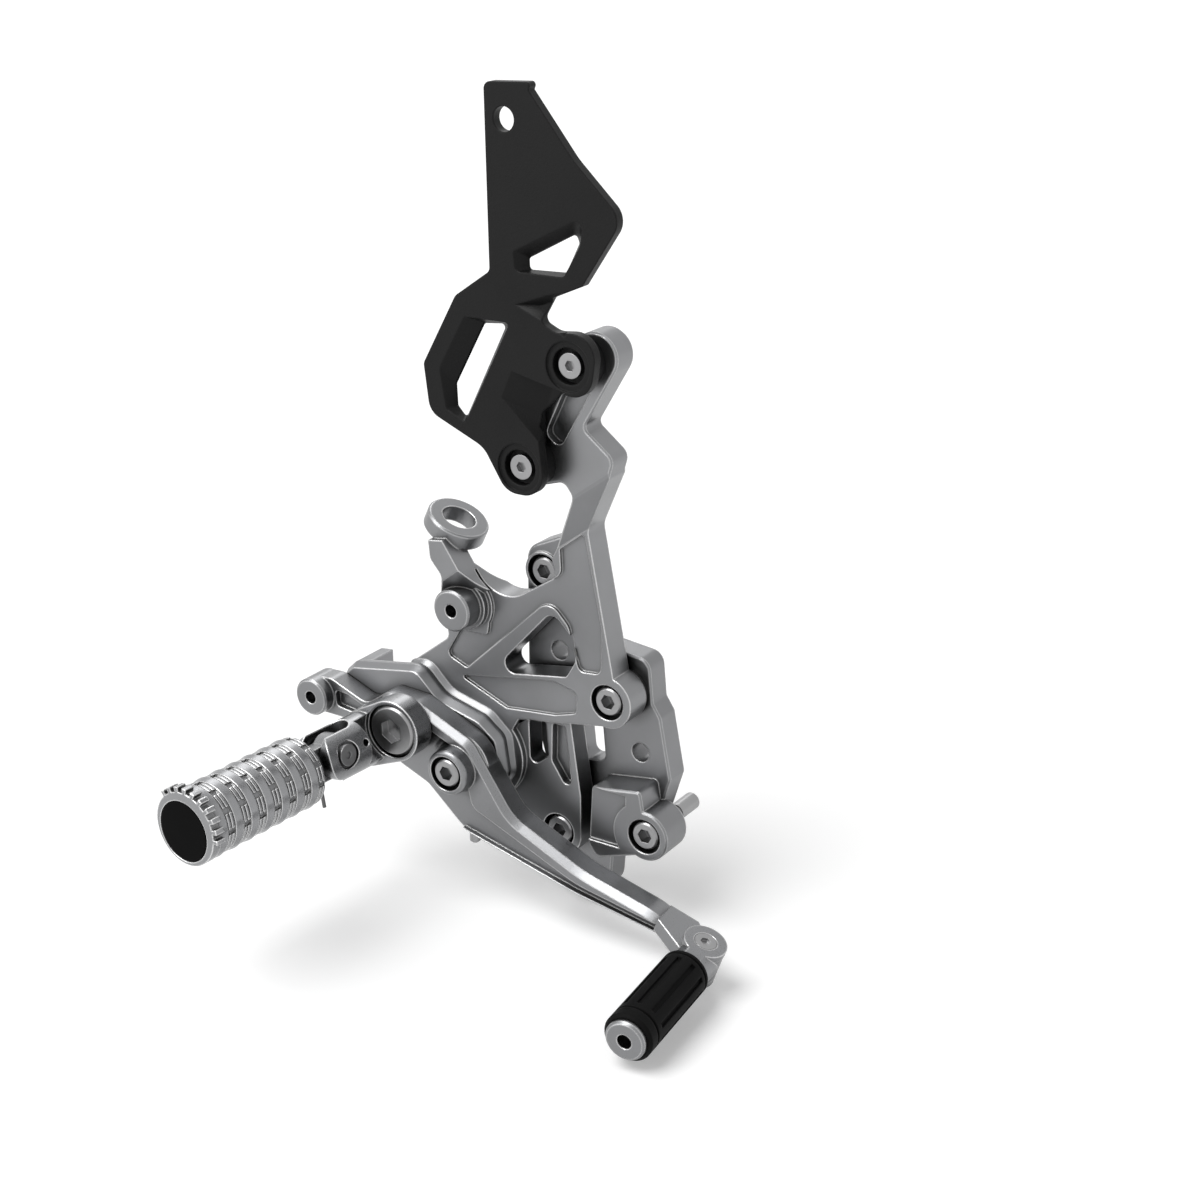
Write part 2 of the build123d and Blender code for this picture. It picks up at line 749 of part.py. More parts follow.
# Peg mount: eye on the peg bolt and forked knuckle
knuckle_r = 12.5
knuckle_root = -32.0
pin_rise = 1.6             # hinge pin above the peg's axis
pin_r = 3.0
pin_head_r = 4.8
pin_head_h = 2.3
pin_key = 3.0
pin_recess_r = 6.3
pin_seat = 10.0            # seat of the pin's head, forward of the peg's axis
cheek_r = 11.3
fork_w = 11.6
fork_floor = -12.6         # the fork's slot ends in a half round
eye_r = 14.25
eye_seat = eye_face - m10_head_h
scoop_end = 69.5           # the knuckle is scooped round the peg bolt up to this level
drill_r = 1.7
drill_depth = 5.0
drill_at = (-11.8, 3.0)

with BuildPart() as peg_mount:
    with BuildSketch(peg_plane.offset(knuckle_root)):
        Circle(knuckle_r)
    extrude(amount=cheek_r - knuckle_root + 1.0)
    with BuildSketch(cheek_plane):
        with Locations((knuckle_root, 0)):
            Rectangle(-2 * knuckle_root, 3 * knuckle_r)
        with Locations((0, pin_rise)):
            Circle(cheek_r)
    extrude(amount=2 * knuckle_r, both=True, mode=Mode.INTERSECT)
    with BuildSketch(outboard(eye_face)):
        with Locations(peg_bolt_at):
            Circle(eye_r)
    extrude(amount=scoop_end - eye_face, mode=Mode.SUBTRACT)
    with BuildSketch(outboard(eye_back)):
        with Locations(peg_bolt_at):
            Circle(eye_r)
        with Locations((peg_hinge_at[0] + 1.8, peg_hinge_at[2])):
            Circle(knuckle_r + 0.8)
        make_hull()
    extrude(amount=eye_t)
    with BuildSketch(outboard(carrier_face)):
        with Locations(peg_bolt_at):
            Circle(spigot_r)
    extrude(amount=eye_back - carrier_face + 1.0)
    with Locations(outboard(eye_face)):
        with Locations(peg_bolt_at):
            CounterBoreHole(m10_r + bolt_fit, m10_head_r + side_gap, m10_head_h)
    with BuildSketch(top_plane):
        with Locations((fork_floor + fork_w / 2, 0)):
            Circle(fork_w / 2)
        with Locations((fork_floor + fork_w / 2 + 2 * cheek_r, 0)):
            Rectangle(4 * cheek_r, fork_w)
    extrude(amount=2 * knuckle_r, both=True, mode=Mode.SUBTRACT)
    with BuildSketch(cheek_plane):
        with Locations((0, pin_rise)):
            Circle(pin_r + turn_fit)
    extrude(amount=2 * knuckle_r, both=True, mode=Mode.SUBTRACT)
    with BuildSketch(cheek_plane.offset(-pin_seat)):
        with Locations((0, pin_rise)):
            Circle(pin_recess_r)
    extrude(amount=-knuckle_r, mode=Mode.SUBTRACT)
    with BuildSketch(cheek_plane.offset(-knuckle_r)):
        with Locations(drill_at):
            Circle(drill_r)
    extrude(amount=drill_depth, mode=Mode.SUBTRACT)
peg_mount.part.label = "peg_mount"
export_step(peg_mount.part, "parts/peg_mount.step")

peg_bolt_end = bracket_back + 1.0
with BuildPart() as peg_bolt:
    with BuildSketch(outboard(peg_bolt_end)):
        with Locations(peg_bolt_at):
            Circle(m10_r)
    extrude(amount=eye_seat - peg_bolt_end)
    with BuildSketch(outboard(eye_seat)):
        with Locations(peg_bolt_at):
            Circle(m10_head_r)
    extrude(amount=m10_head_h)
    chamfer(peg_bolt.faces().sort_by(Axis.Y)[0].edges(), m10_edge)
    with BuildSketch(outboard(eye_face)):
        with Locations(peg_bolt_at):
            RegularPolygon(hexagon_r(m10_key), 6, rotation=30)
    extrude(amount=-m10_head_h * key_depth, mode=Mode.SUBTRACT)
peg_bolt.part.label = "peg_bolt"
export_step(peg_bolt.part, "parts/peg_bolt.step")

with BuildPart() as peg_hinge_pin:
    with BuildSketch(cheek_plane.offset(-pin_seat)):
        with Locations((0, pin_rise)):
            Circle(pin_r)
    extrude(amount=pin_seat + knuckle_r - edge)
    with BuildSketch(cheek_plane.offset(-pin_seat)):
        with Locations((0, pin_rise)):
            Circle(pin_head_r)
    extrude(amount=-pin_head_h)
    with BuildSketch(cheek_plane.offset(-pin_seat - pin_head_h)):
        with Locations((0, pin_rise)):
            RegularPolygon(hexagon_r(pin_key), 6)
    extrude(amount=pin_head_h * key_depth, mode=Mode.SUBTRACT)
peg_hinge_pin.part.label = "peg_hinge_pin"
export_step(peg_hinge_pin.part, "parts/peg_hinge_pin.step")

# Footpeg: toothed barrel turned and milled from one bar
tongue_r = 9.0
tongue_w = 7.2
tongue_front = fork_w / 2 - side_gap
peg_root = 13.0            # shoulder, outward of the hinge
peg_root_r = 9.4
neck_end = 18.6
neck_r = 14.2
band_count = 7
band_pitch = 8.9
groove_r = 14.9
tooth_r = 15.7
band_r = 16.2              # wide bands taper from this, outward
band_low_r = 15.6
ring_w = 1.4
ring_gap = 0.6
notch_w = 2.6
notch_r = 14.5
notch_step = 34.0          # degrees between notches
notch_count = 7
notch_first = -13.0
flange_t = 4.6
flange_r = 16.2
teeth_r = 18.4
teeth_from = -16.0
teeth_to = 124.0
teeth_count = 9
teeth_depth = 2.6
cap_r = 13.4
cap_t = 3.0
cap_shift = (-1.2, -1.2)
cap_fit = 0.1
cap_edge = 0.4

grip_end = neck_end + band_count * band_pitch
peg_end = grip_end + flange_t
profile = [(0.0, peg_root), (peg_root_r, peg_root), (neck_r, neck_end)]
for band in range(band_count):
    start = neck_end + band * band_pitch
    for ring in (0, 1):
        inner = start + ring_gap + ring * (ring_w + ring_gap)
        profile += [
            (groove_r, inner - ring_gap + 0.01),
            (groove_r, inner),
            (tooth_r, inner),
            (tooth_r, inner + ring_w),
        ]
    inner = start + 2 * (ring_w + ring_gap)
    profile += [
        (groove_r, inner),
        (groove_r, inner + ring_gap),
        (band_r - 0.3, inner + ring_gap),
        (band_r, inner + ring_gap + 0.3),
        (band_low_r, start + band_pitch),
    ]
profile += [(flange_r, grip_end + 0.01), (flange_r, peg_end), (0.0, peg_end)]

with BuildPart() as footpeg:
    with BuildSketch(turning_plane):
        with BuildLine():
            Polyline(*profile, close=True)
        make_face()
    revolve(axis=Axis(peg_hinge_at, peg_out))
    with BuildSketch(cheek_plane.offset(-tongue_front)):
        with Locations((0, pin_rise)):
            Circle(tongue_r)
        with Locations((peg_root / 2 + 0.5, 0)):
            Rectangle(peg_root + 1.0, 2 * tongue_r - 2.0)
    extrude(amount=tongue_w)
    with BuildSketch(cheek_plane):
        with Locations((0, pin_rise)):
            Circle(pin_r + turn_fit)
    extrude(amount=2 * knuckle_r, both=True, mode=Mode.SUBTRACT)
    for band in range(band_count):
        with BuildSketch(peg_plane.offset(neck_end + band * band_pitch + ring_gap / 2)):
            with PolarLocations(notch_r + 1.5, notch_count, notch_first, notch_step * notch_count):
                Rectangle(3.0, notch_w)
        extrude(amount=2 * (ring_w + ring_gap), mode=Mode.SUBTRACT)
    with BuildSketch(peg_plane.offset(grip_end)):
        with BuildLine():
            CenterArc((0, 0), teeth_r, teeth_from, teeth_to - teeth_from)
            Polyline(
                (teeth_r * cos(radians(teeth_to)), teeth_r * sin(radians(teeth_to))),
                (0, 0),
                (teeth_r * cos(radians(teeth_from)), teeth_r * sin(radians(teeth_from))),
            )
        make_face()
        Circle(flange_r)
        with PolarLocations(
            teeth_r, teeth_count, teeth_from + 10.0, teeth_to - teeth_from - 4.0
        ):
            Rectangle(2 * teeth_depth, notch_w, mode=Mode.SUBTRACT)
    extrude(amount=flange_t)
    with BuildSketch(peg_plane.offset(peg_end)):
        with Locations(cap_shift):
            Circle(cap_r + cap_fit)
    extrude(amount=-cap_t, mode=Mode.SUBTRACT)
footpeg.part.label = "footpeg"
export_step(footpeg.part, "parts/footpeg.step")

with BuildPart() as footpeg_end_cap:
    with BuildSketch(peg_plane.offset(peg_end - cap_t)):
        with Locations(cap_shift):
            Circle(cap_r)
    extrude(amount=cap_t)
    chamfer(footpeg_end_cap.faces().sort_by(Axis.Y)[0].edges(), cap_edge)
footpeg_end_cap.part.label = "footpeg_end_cap"
export_step(footpeg_end_cap.part, "parts/footpeg_end_cap.step")

# Footpeg spring beside the tongue
spring_wire_r = 0.85
spring_coil_r = 5.4
spring_turns = 2
spring_side = -4.6         # first turn, along the hinge
spring_leg = 24.0

with BuildPart() as footpeg_spring:
    for turn in range(spring_turns):
        with BuildSketch(turning_plane.offset(-pin_rise)):
            with Locations((spring_side + turn * 1.8 * spring_wire_r, spring_coil_r)):
                Circle(spring_wire_r)
        revolve(axis=Axis(Vector(*peg_hinge_at) + peg_up * pin_rise, hinge_dir))
    with BuildSketch(top_plane.offset(pin_rise)):
        with Locations((spring_coil_r, spring_side)):
            Circle(spring_wire_r)
    extrude(amount=-spring_leg)
    with BuildSketch(peg_plane):
        with Locations((spring_side + 1.8 * spring_wire_r, pin_rise + spring_coil_r)):
            Circle(spring_wire_r)
    extrude(amount=peg_root - side_gap)
footpeg_spring.part.label = "footpeg_spring"
export_step(footpeg_spring.part, "parts/footpeg_spring.step")

# Toe peg: clevis with a shaft, rubber sleeve and end cap
clevis_r = 9.5
clevis_top = 8.8
clevis_low = -9.2
clevis_gap_top = 6.0
web_from = 9.2             # solid web between the fork's plates
web_half = 6.0             # rearward, where the lever comes close when the peg is folded
shaft_r = 7.0
sleeve_from = 13.0
sleeve_r = 10.7
sleeve_end = 66.0
rib_count = 10
rib_depth = 1.1
rib_groove_w = 2.2
rib_start = 6.0            # grooves start this far from the sleeve's inner end
rib_stop = 10.0            # and stop this far from its outer end
sleeve_edge = 1.2
ring_groove_w = 1.2
ring_groove_depth = 0.8
ring_grooves = (2.6, 46.0) # two grooves run round the sleeve
toe_head_r = 4.8
toe_head_h = 2.2
toe_key_depth = 1.4
toe_bolt_proud = 1.5       # the bolt's end past its nut
toe_nut_h = 4.5
toe_nut_key = 9.0
toe_washer_r = 5.6
toe_washer_t = 0.8
toe_cap_r = 8.8
toe_cap_t = 2.6
toe_cap_edge = 1.0
toe_cap_hole_r = 3.2
toe_cap_stem_r = 4.6
toe_cap_stem_l = 12.0
toe_across = Plane(origin=toe_hinge_at, x_dir=toe_plane.y_dir, z_dir=toe_out)

with BuildPart() as toe_peg:
    with BuildSketch(toe_across):
        Circle(clevis_r)
    extrude(amount=sleeve_from)
    with BuildSketch(toe_plane.offset(clevis_low - 1.0)):
        Circle(clevis_r)
    extrude(amount=clevis_top - clevis_low + 2.0)
    with BuildSketch(toe_across):
        with Locations((0, (clevis_top + clevis_low) / 2)):
            Rectangle(4 * clevis_r, clevis_top - clevis_low)
    extrude(amount=4 * clevis_r, both=True, mode=Mode.INTERSECT)
    with BuildSketch(toe_plane.offset(tongue_top - tongue_t - side_gap)):
        with Locations((-clevis_r, 0)):
            Rectangle(2 * clevis_r, 4 * clevis_r)
        Circle(web_from)
        with Locations((web_from - clevis_r, -clevis_r)):
            Rectangle(2 * clevis_r, 2 * clevis_r)
        with Locations((clevis_r, -web_half - clevis_r)):
            Rectangle(4 * clevis_r, 2 * clevis_r)
    extrude(amount=clevis_gap_top - tongue_top + tongue_t + side_gap, mode=Mode.SUBTRACT)
    with BuildSketch(toe_across.offset(web_from + 0.5)):
        Circle(shaft_r)
    extrude(amount=sleeve_end - web_from - 0.5)
    with Locations(toe_plane.offset(clevis_top)):
        CounterBoreHole(toe_bolt_r + turn_fit, toe_head_r + 0.2, toe_head_h)
    with BuildSketch(toe_across.offset(sleeve_end)):
        Circle(toe_cap_stem_r + thread_fit)
    extrude(amount=-toe_cap_stem_l - 1.0, mode=Mode.SUBTRACT)
toe_peg.part.label = "toe_peg"
export_step(toe_peg.part, "parts/toe_peg.step")

with BuildPart() as toe_peg_rubber:
    with BuildSketch(toe_across.offset(sleeve_from)):
        Circle(sleeve_r)
        Circle(shaft_r + 0.05, mode=Mode.SUBTRACT)
    extrude(amount=sleeve_end - sleeve_from)
    sleeve_ends = toe_peg_rubber.edges().filter_by(GeomType.CIRCLE).group_by(SortBy.RADIUS)[-1]
    chamfer(sleeve_ends, sleeve_edge)
    with BuildSketch(toe_across.offset(sleeve_from + rib_start)):
        with PolarLocations(sleeve_r, rib_count):
            Rectangle(2 * rib_depth, rib_groove_w)
    extrude(amount=sleeve_end - sleeve_from - rib_start - rib_stop, mode=Mode.SUBTRACT)
    for groove_start in ring_grooves:
        with BuildSketch(toe_across.offset(sleeve_from + groove_start)):
            Circle(sleeve_r + 1.0)
            Circle(sleeve_r - ring_groove_depth, mode=Mode.SUBTRACT)
        extrude(amount=ring_groove_w, mode=Mode.SUBTRACT)
toe_peg_rubber.part.label = "toe_peg_rubber"
export_step(toe_peg_rubber.part, "parts/toe_peg_rubber.step")

with BuildPart() as toe_peg_end_cap:
    with BuildSketch(toe_across.offset(sleeve_end)):
        Circle(toe_cap_r)
    extrude(amount=toe_cap_t)
    chamfer(toe_peg_end_cap.faces().sort_by(Axis.Y)[0].edges(), toe_cap_edge)
    with BuildSketch(toe_across.offset(sleeve_end - toe_cap_stem_l)):
        Circle(toe_cap_stem_r)
    extrude(amount=toe_cap_stem_l)
    with BuildSketch(toe_across.offset(sleeve_end + toe_cap_t)):
        Circle(toe_cap_hole_r)
    extrude(amount=-toe_cap_t - 4.0, mode=Mode.SUBTRACT)
toe_peg_end_cap.part.label = "toe_peg_end_cap"
export_step(toe_peg_end_cap.part, "parts/toe_peg_end_cap.step")

with BuildPart() as toe_hinge_bolt:
    with BuildSketch(toe_plane.offset(clevis_low - toe_washer_t - toe_nut_h - toe_bolt_proud)):
        Circle(toe_bolt_r)
    extrude(amount=clevis_top - toe_head_h - clevis_low + toe_washer_t + toe_nut_h + toe_bolt_proud)
    with BuildSketch(toe_plane.offset(clevis_top - toe_head_h)):
        Circle(toe_head_r)
    extrude(amount=toe_head_h)
    with BuildSketch(toe_plane.offset(clevis_top)):
        RegularPolygon(hexagon_r(m6_key), 6)
    extrude(amount=-toe_key_depth, mode=Mode.SUBTRACT)
toe_hinge_bolt.part.label = "toe_hinge_bolt"
export_step(toe_hinge_bolt.part, "parts/toe_hinge_bolt.step")

with BuildPart() as toe_hinge_washer:
    with BuildSketch(toe_plane.offset(clevis_low)):
        Circle(toe_washer_r)
        Circle(toe_bolt_r + bolt_fit, mode=Mode.SUBTRACT)
    extrude(amount=-toe_washer_t)
toe_hinge_washer.part.label = "toe_hinge_washer"
export_step(toe_hinge_washer.part, "parts/toe_hinge_washer.step")

with BuildPart() as toe_hinge_nut:
    with BuildSketch(toe_plane.offset(clevis_low - toe_washer_t)):
        RegularPolygon(hexagon_r(toe_nut_key), 6)
        Circle(toe_bolt_r + thread_fit, mode=Mode.SUBTRACT)
    extrude(amount=-toe_nut_h)
toe_hinge_nut.part.label = "toe_hinge_nut"
export_step(toe_hinge_nut.part, "parts/toe_hinge_nut.step")

toe_spring_wire_r = 0.9
toe_spring_coil_r = 5.2
toe_spring_turns = 3
with BuildPart() as toe_peg_spring:
    for turn in range(toe_spring_turns):
        height = tongue_top + side_gap + toe_spring_wire_r + turn * 1.9 * toe_spring_wire_r
        with BuildSketch(Plane(origin=toe_hinge_at, x_dir=toe_out, z_dir=-toe_plane.y_dir)):
            with Locations((toe_spring_coil_r, height)):
                Circle(toe_spring_wire_r)
        revolve(axis=Axis(toe_hinge_at, toe_up))
toe_peg_spring.part.label = "toe_peg_spring"
export_step(toe_peg_spring.part, "parts/toe_peg_spring.step")

# Heel guard
guard_back = 45.5
guard_face = 50.0
guard_corners = [
    (23.4, 299.2, 3.0),
    (45.6, 300.4, 1.5),
    (44.2, 297.2, 0.5),
    (64.4, 272.6, 30.0),
    (86.6, 252.0, 8.0),
    (68.4, 224.4, 2.0),
    (53.6, 217.8, 2.0),
    (48.0, 208.0, 3.0),
    (56.0, 204.4, 8.0),
    (76.0, 206.6, 10.2),
    (71.6, 178.4, 9.6),
    (57.2, 180.2, 3.0),
    (46.0, 168.0, 3.0),
    (47.4, 156.6, 3.0),
    (50.2, 134.4, 9.6),
    (31.0, 134.2, 9.6),
    (20.0, 151.6, 12.0),
    (-7.0, 162.6, 8.0),
    (-9.6, 183.0, 4.0),
    (7.4, 213.4, 6.0),
    (24.6, 225.4, 3.0),
]
guard_boss_r = 10.3
guard_recess_r = 7.6
guard_seat = neck_face + 7.0
guard_boss_face = 49.0
guard_hole_at = (32.5, 285.5)
guard_hole_r = 4.9
window_front = [
    (36.0, 234.6, 1.5),
    (69.6, 251.8, 3.0),
    (67.4, 240.0, 2.0),
    (59.8, 227.0, 2.0),
    (36.8, 226.6, 2.5),
]
window_back = [
    (41.0, 231.8, 1.5),
    (63.0, 243.6, 1.5),
    (64.4, 240.2, 1.5),
    (58.4, 228.0, 1.5),
    (41.2, 227.2, 1.5),
]
slot_front = [
    (11.6, 205.4, 2.0),
    (34.0, 205.6, 1.5),
    (11.0, 160.6, 1.5),
    (1.4, 165.0, 2.0),
    (-1.6, 182.0, 3.0),
]
slot_back = [
    (18.8, 202.6, 1.5),
    (29.6, 203.8, 1.5),
    (8.6, 161.6, 1.2),
    (4.4, 166.0, 1.5),
    (4.0, 175.4, 2.0),
]
valley = [
    (34.4, 185.9, 0.0),
    (60.0, 180.6, 0.0),
    (56.0, 162.0, 0.0),
    (48.6, 156.8, 0.0),
    (29.3, 174.2, 0.0),
]
valley_floor = [
    (50.0, 180.0, 0.0),
    (60.0, 180.0, 0.0),
    (56.0, 163.0, 0.0),
    (48.6, 160.6, 0.0),
    (45.6, 166.6, 0.0),
]
waist = [
    (36.4, 213.4, 0.0),
    (52.0, 219.2, 0.0),
    (68.0, 223.4, 0.0),
    (60.0, 203.0, 0.0),
    (48.6, 208.8, 0.0),
]
waist_floor = [
    (46.4, 213.6, 0.0),
    (54.0, 216.4, 0.0),
    (64.0, 219.0, 0.0),
    (60.0, 205.0, 0.0),
    (50.4, 210.4, 0.0),
]
waist_depth = 3.2
valley_depth = 6.4
web_back = 41.0
web_corners = [
    (52.0, 200.0, 2.0),
    (60.0, 184.0, 2.0),
    (44.6, 168.6, 3.0),
    (45.0, 157.0, 3.0),
    (43.0, 147.0, 2.0),
    (30.0, 146.0, 2.0),
    (34.0, 176.0, 6.0),
]

guard_cuts = [
    (valley, valley_floor, valley_depth),
    (waist, waist_floor, waist_depth),
    (window_front, window_back, guard_face - guard_back),
    (slot_front, slot_back, guard_face - guard_back),
]

with BuildPart() as heel_guard:
    with BuildSketch(outboard(guard_back)):
        add(rounded(guard_corners))
    extrude(amount=guard_face - guard_back)
    with BuildSketch(outboard(web_back)):
        add(rounded(web_corners))
    extrude(amount=guard_back - web_back + 0.5)
    for front, back, depth in guard_cuts:
        with BuildSketch(outboard(guard_face)):
            add(rounded(front))
        with BuildSketch(outboard(guard_face - depth)):
            add(rounded(back))
        loft(ruled=True, mode=Mode.SUBTRACT)
    with BuildSketch(outboard(neck_face)):
        with Locations(*guard_screw_at):
            Circle(guard_boss_r)
    extrude(amount=guard_boss_face - neck_face)
    with BuildSketch(outboard(guard_boss_face)):
        with Locations(*guard_screw_at):
            Circle(guard_boss_r)
    extrude(amount=guard_face - guard_boss_face, mode=Mode.SUBTRACT)
    with Locations(outboard(guard_boss_face)):
        with Locations(*guard_screw_at):
            CounterBoreHole(m6_r + bolt_fit, guard_recess_r, guard_boss_face - guard_seat)
    with BuildSketch(outboard(guard_face)):
        with Locations(guard_hole_at):
            Circle(guard_hole_r)
    extrude(amount=guard_back - guard_face, mode=Mode.SUBTRACT)
heel_guard.part.label = "heel_guard"
export_step(heel_guard.part, "parts/heel_guard.step")

guard_screw_end = neck_back + 1.0
with BuildPart() as guard_screws:
    for at in guard_screw_at:
        with BuildSketch(outboard(guard_screw_end)):
            with Locations(at):
                Circle(m6_r)
        extrude(amount=guard_seat - guard_screw_end)
        with BuildSketch(outboard(guard_seat)):
            with Locations(at):
                Circle(m6_head_r)
        extrude(amount=m6_head_h)
        with BuildSketch(outboard(guard_seat + m6_head_h)):
            with Locations(at):
                RegularPolygon(hexagon_r(m6_key), 6)
        extrude(amount=-m6_head_h * key_depth, mode=Mode.SUBTRACT)
guard_screws.part.label = "guard_screws"
export_step(guard_screws.part, "parts/guard_screws.step")
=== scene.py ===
# %% [markdown]
# A motorcycle's right-hand rearset is the set of parts that the rider's foot works: a folding
# footpeg, a brake lever with a small folding toe peg, and the milled bracket that holds both
# against the frame. This lesson dresses the finished solids: each gets its own finish with soft
# edges, and the forked knuckle and the two springs are made here in place of plainer solids.
# The first step loads the solids and keeps the size of the whole object, which sets the floor's height.

# %% Load the solids
import bpy
import bmesh
import json
from math import acos, atan2, cos, degrees, pi, radians, sin
from mathutils import Matrix, Vector


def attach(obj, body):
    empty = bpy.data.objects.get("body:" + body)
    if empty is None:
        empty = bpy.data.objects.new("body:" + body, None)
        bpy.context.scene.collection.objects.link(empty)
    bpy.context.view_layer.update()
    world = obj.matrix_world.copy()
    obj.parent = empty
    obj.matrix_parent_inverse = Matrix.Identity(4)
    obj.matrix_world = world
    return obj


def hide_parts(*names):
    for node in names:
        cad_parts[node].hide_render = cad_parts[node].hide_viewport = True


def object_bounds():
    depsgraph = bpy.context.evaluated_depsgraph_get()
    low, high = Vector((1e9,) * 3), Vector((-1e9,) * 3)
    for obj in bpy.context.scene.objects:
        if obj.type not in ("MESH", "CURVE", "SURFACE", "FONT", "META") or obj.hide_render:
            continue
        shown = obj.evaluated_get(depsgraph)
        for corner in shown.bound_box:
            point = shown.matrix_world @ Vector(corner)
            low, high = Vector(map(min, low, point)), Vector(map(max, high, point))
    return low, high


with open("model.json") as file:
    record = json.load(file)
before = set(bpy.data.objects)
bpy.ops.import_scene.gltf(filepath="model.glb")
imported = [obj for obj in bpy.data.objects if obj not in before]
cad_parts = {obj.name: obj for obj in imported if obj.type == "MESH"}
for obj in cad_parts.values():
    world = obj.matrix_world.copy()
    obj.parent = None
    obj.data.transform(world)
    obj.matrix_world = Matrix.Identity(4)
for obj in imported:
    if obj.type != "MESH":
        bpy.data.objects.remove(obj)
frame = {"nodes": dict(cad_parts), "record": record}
solid_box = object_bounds()
MM = 0.001
print("nodes", len(frame["nodes"]), "box", [tuple(round(c, 4) for c in corner) for corner in solid_box])

# %% [markdown]
# The camera comes first, because every finish is judged through it. It stands ahead of the
# bike and outboard, a little above the object, and looks back and down. A long lens keeps the
# round screw heads round. The numbers are real places in the row's own frame, in metres.

# %% Camera
PHOTO_SIDE = 1200
FOCAL_PIXELS = 2121
SENSOR = 36.0
CAMERA_AT = Vector((0.5081, -0.7273, 0.4109))
CAMERA_AZIMUTH = radians(32.5)
CAMERA_ELEVATION = radians(21.4)

camera_data = bpy.data.cameras.new("camera")
camera_data.sensor_width = SENSOR
camera_data.lens = SENSOR * FOCAL_PIXELS / PHOTO_SIDE
camera_data.clip_start = 0.01
camera = bpy.data.objects.new("camera", camera_data)
camera.location = CAMERA_AT
camera.rotation_euler = (pi / 2 - CAMERA_ELEVATION, 0.0, CAMERA_AZIMUTH)
bpy.context.scene.collection.objects.link(camera)
bpy.context.scene.camera = camera
bpy.context.scene.view_settings.view_transform = "Standard"
print("lens", round(camera_data.lens, 2), "mm")

# %% [markdown]
# A small helper keeps the material cells short. It adds a shader node, sets the inputs that are
# given by name, and wires in whatever comes from another node. Numbers that are the same all
# over a surface go straight onto the shader's own socket.

# %% Helpers for finishes


def add_node(tree, kind, links=None, **inputs):
    """New node of a kind, with inputs set by name and links made from other nodes' sockets."""
    node = tree.nodes.new(kind)
    for name, value in inputs.items():
        node.inputs[name.replace("_", " ")].default_value = value
    for name, socket in (links or {}).items():
        tree.links.new(socket, node.inputs[name])
    return node


def new_finish(name):
    """Empty material with an output, and its node tree."""
    finish = bpy.data.materials.new(name)
    finish.use_nodes = True
    tree = finish.node_tree
    tree.nodes.clear()
    tree.nodes.new("ShaderNodeOutputMaterial")
    return finish, tree


def close_finish(tree, shader):
    """Wires a shader to the material's output."""
    output = next(n for n in tree.nodes if n.type == "OUTPUT_MATERIAL")
    tree.links.new(shader.outputs[0], output.inputs["Surface"])


def noise(tree, place, scale, detail=2.0):
    """Noise value of a given number of grains per metre."""
    node = add_node(tree, "ShaderNodeTexNoise", {"Vector": place}, Scale=scale, Detail=detail)
    return node.outputs[0]


def spread(tree, value, low, high, start=0.3, stop=0.7):
    """Value mapped onto a range, flat outside it."""
    node = add_node(tree, "ShaderNodeMapRange", {"Value": value})
    node.inputs["From Min"].default_value = start
    node.inputs["From Max"].default_value = stop
    node.inputs["To Min"].default_value = low
    node.inputs["To Max"].default_value = high
    return node.outputs[0]


# %% [markdown]
# Milled aluminium is blasted with fine glass beads, which leaves an even satin grain with no
# direction. Slow patches shift its tone, and a fine grain sits in the roughness and in a very low
# bump. A cutter leaves no sharp corner, so the shading normal is taken from a rounded copy of
# the surface. Where it leaves the true one, at the edges, a painted highlight brightens the colour,
# which stands for edge polish too. Inner corners get painted shade, darkened by ambient occlusion.

# %% Satin aluminium
EDGE_RADIUS = 1.1 * MM
# Painted edge highlight: how many times the tone the edges are painted.
PAINTED_EDGE_HIGHLIGHT_GAIN = 3.2
# Painted corner shade: how far the occlusion reaches and how dark the corners are painted.
CORNER_SHADE_REACH = 7.0 * MM
CORNER_SHADE_LOSS = 0.35
BLAST_GRAIN = 2600.0
BLAST_RELIEF = 0.02


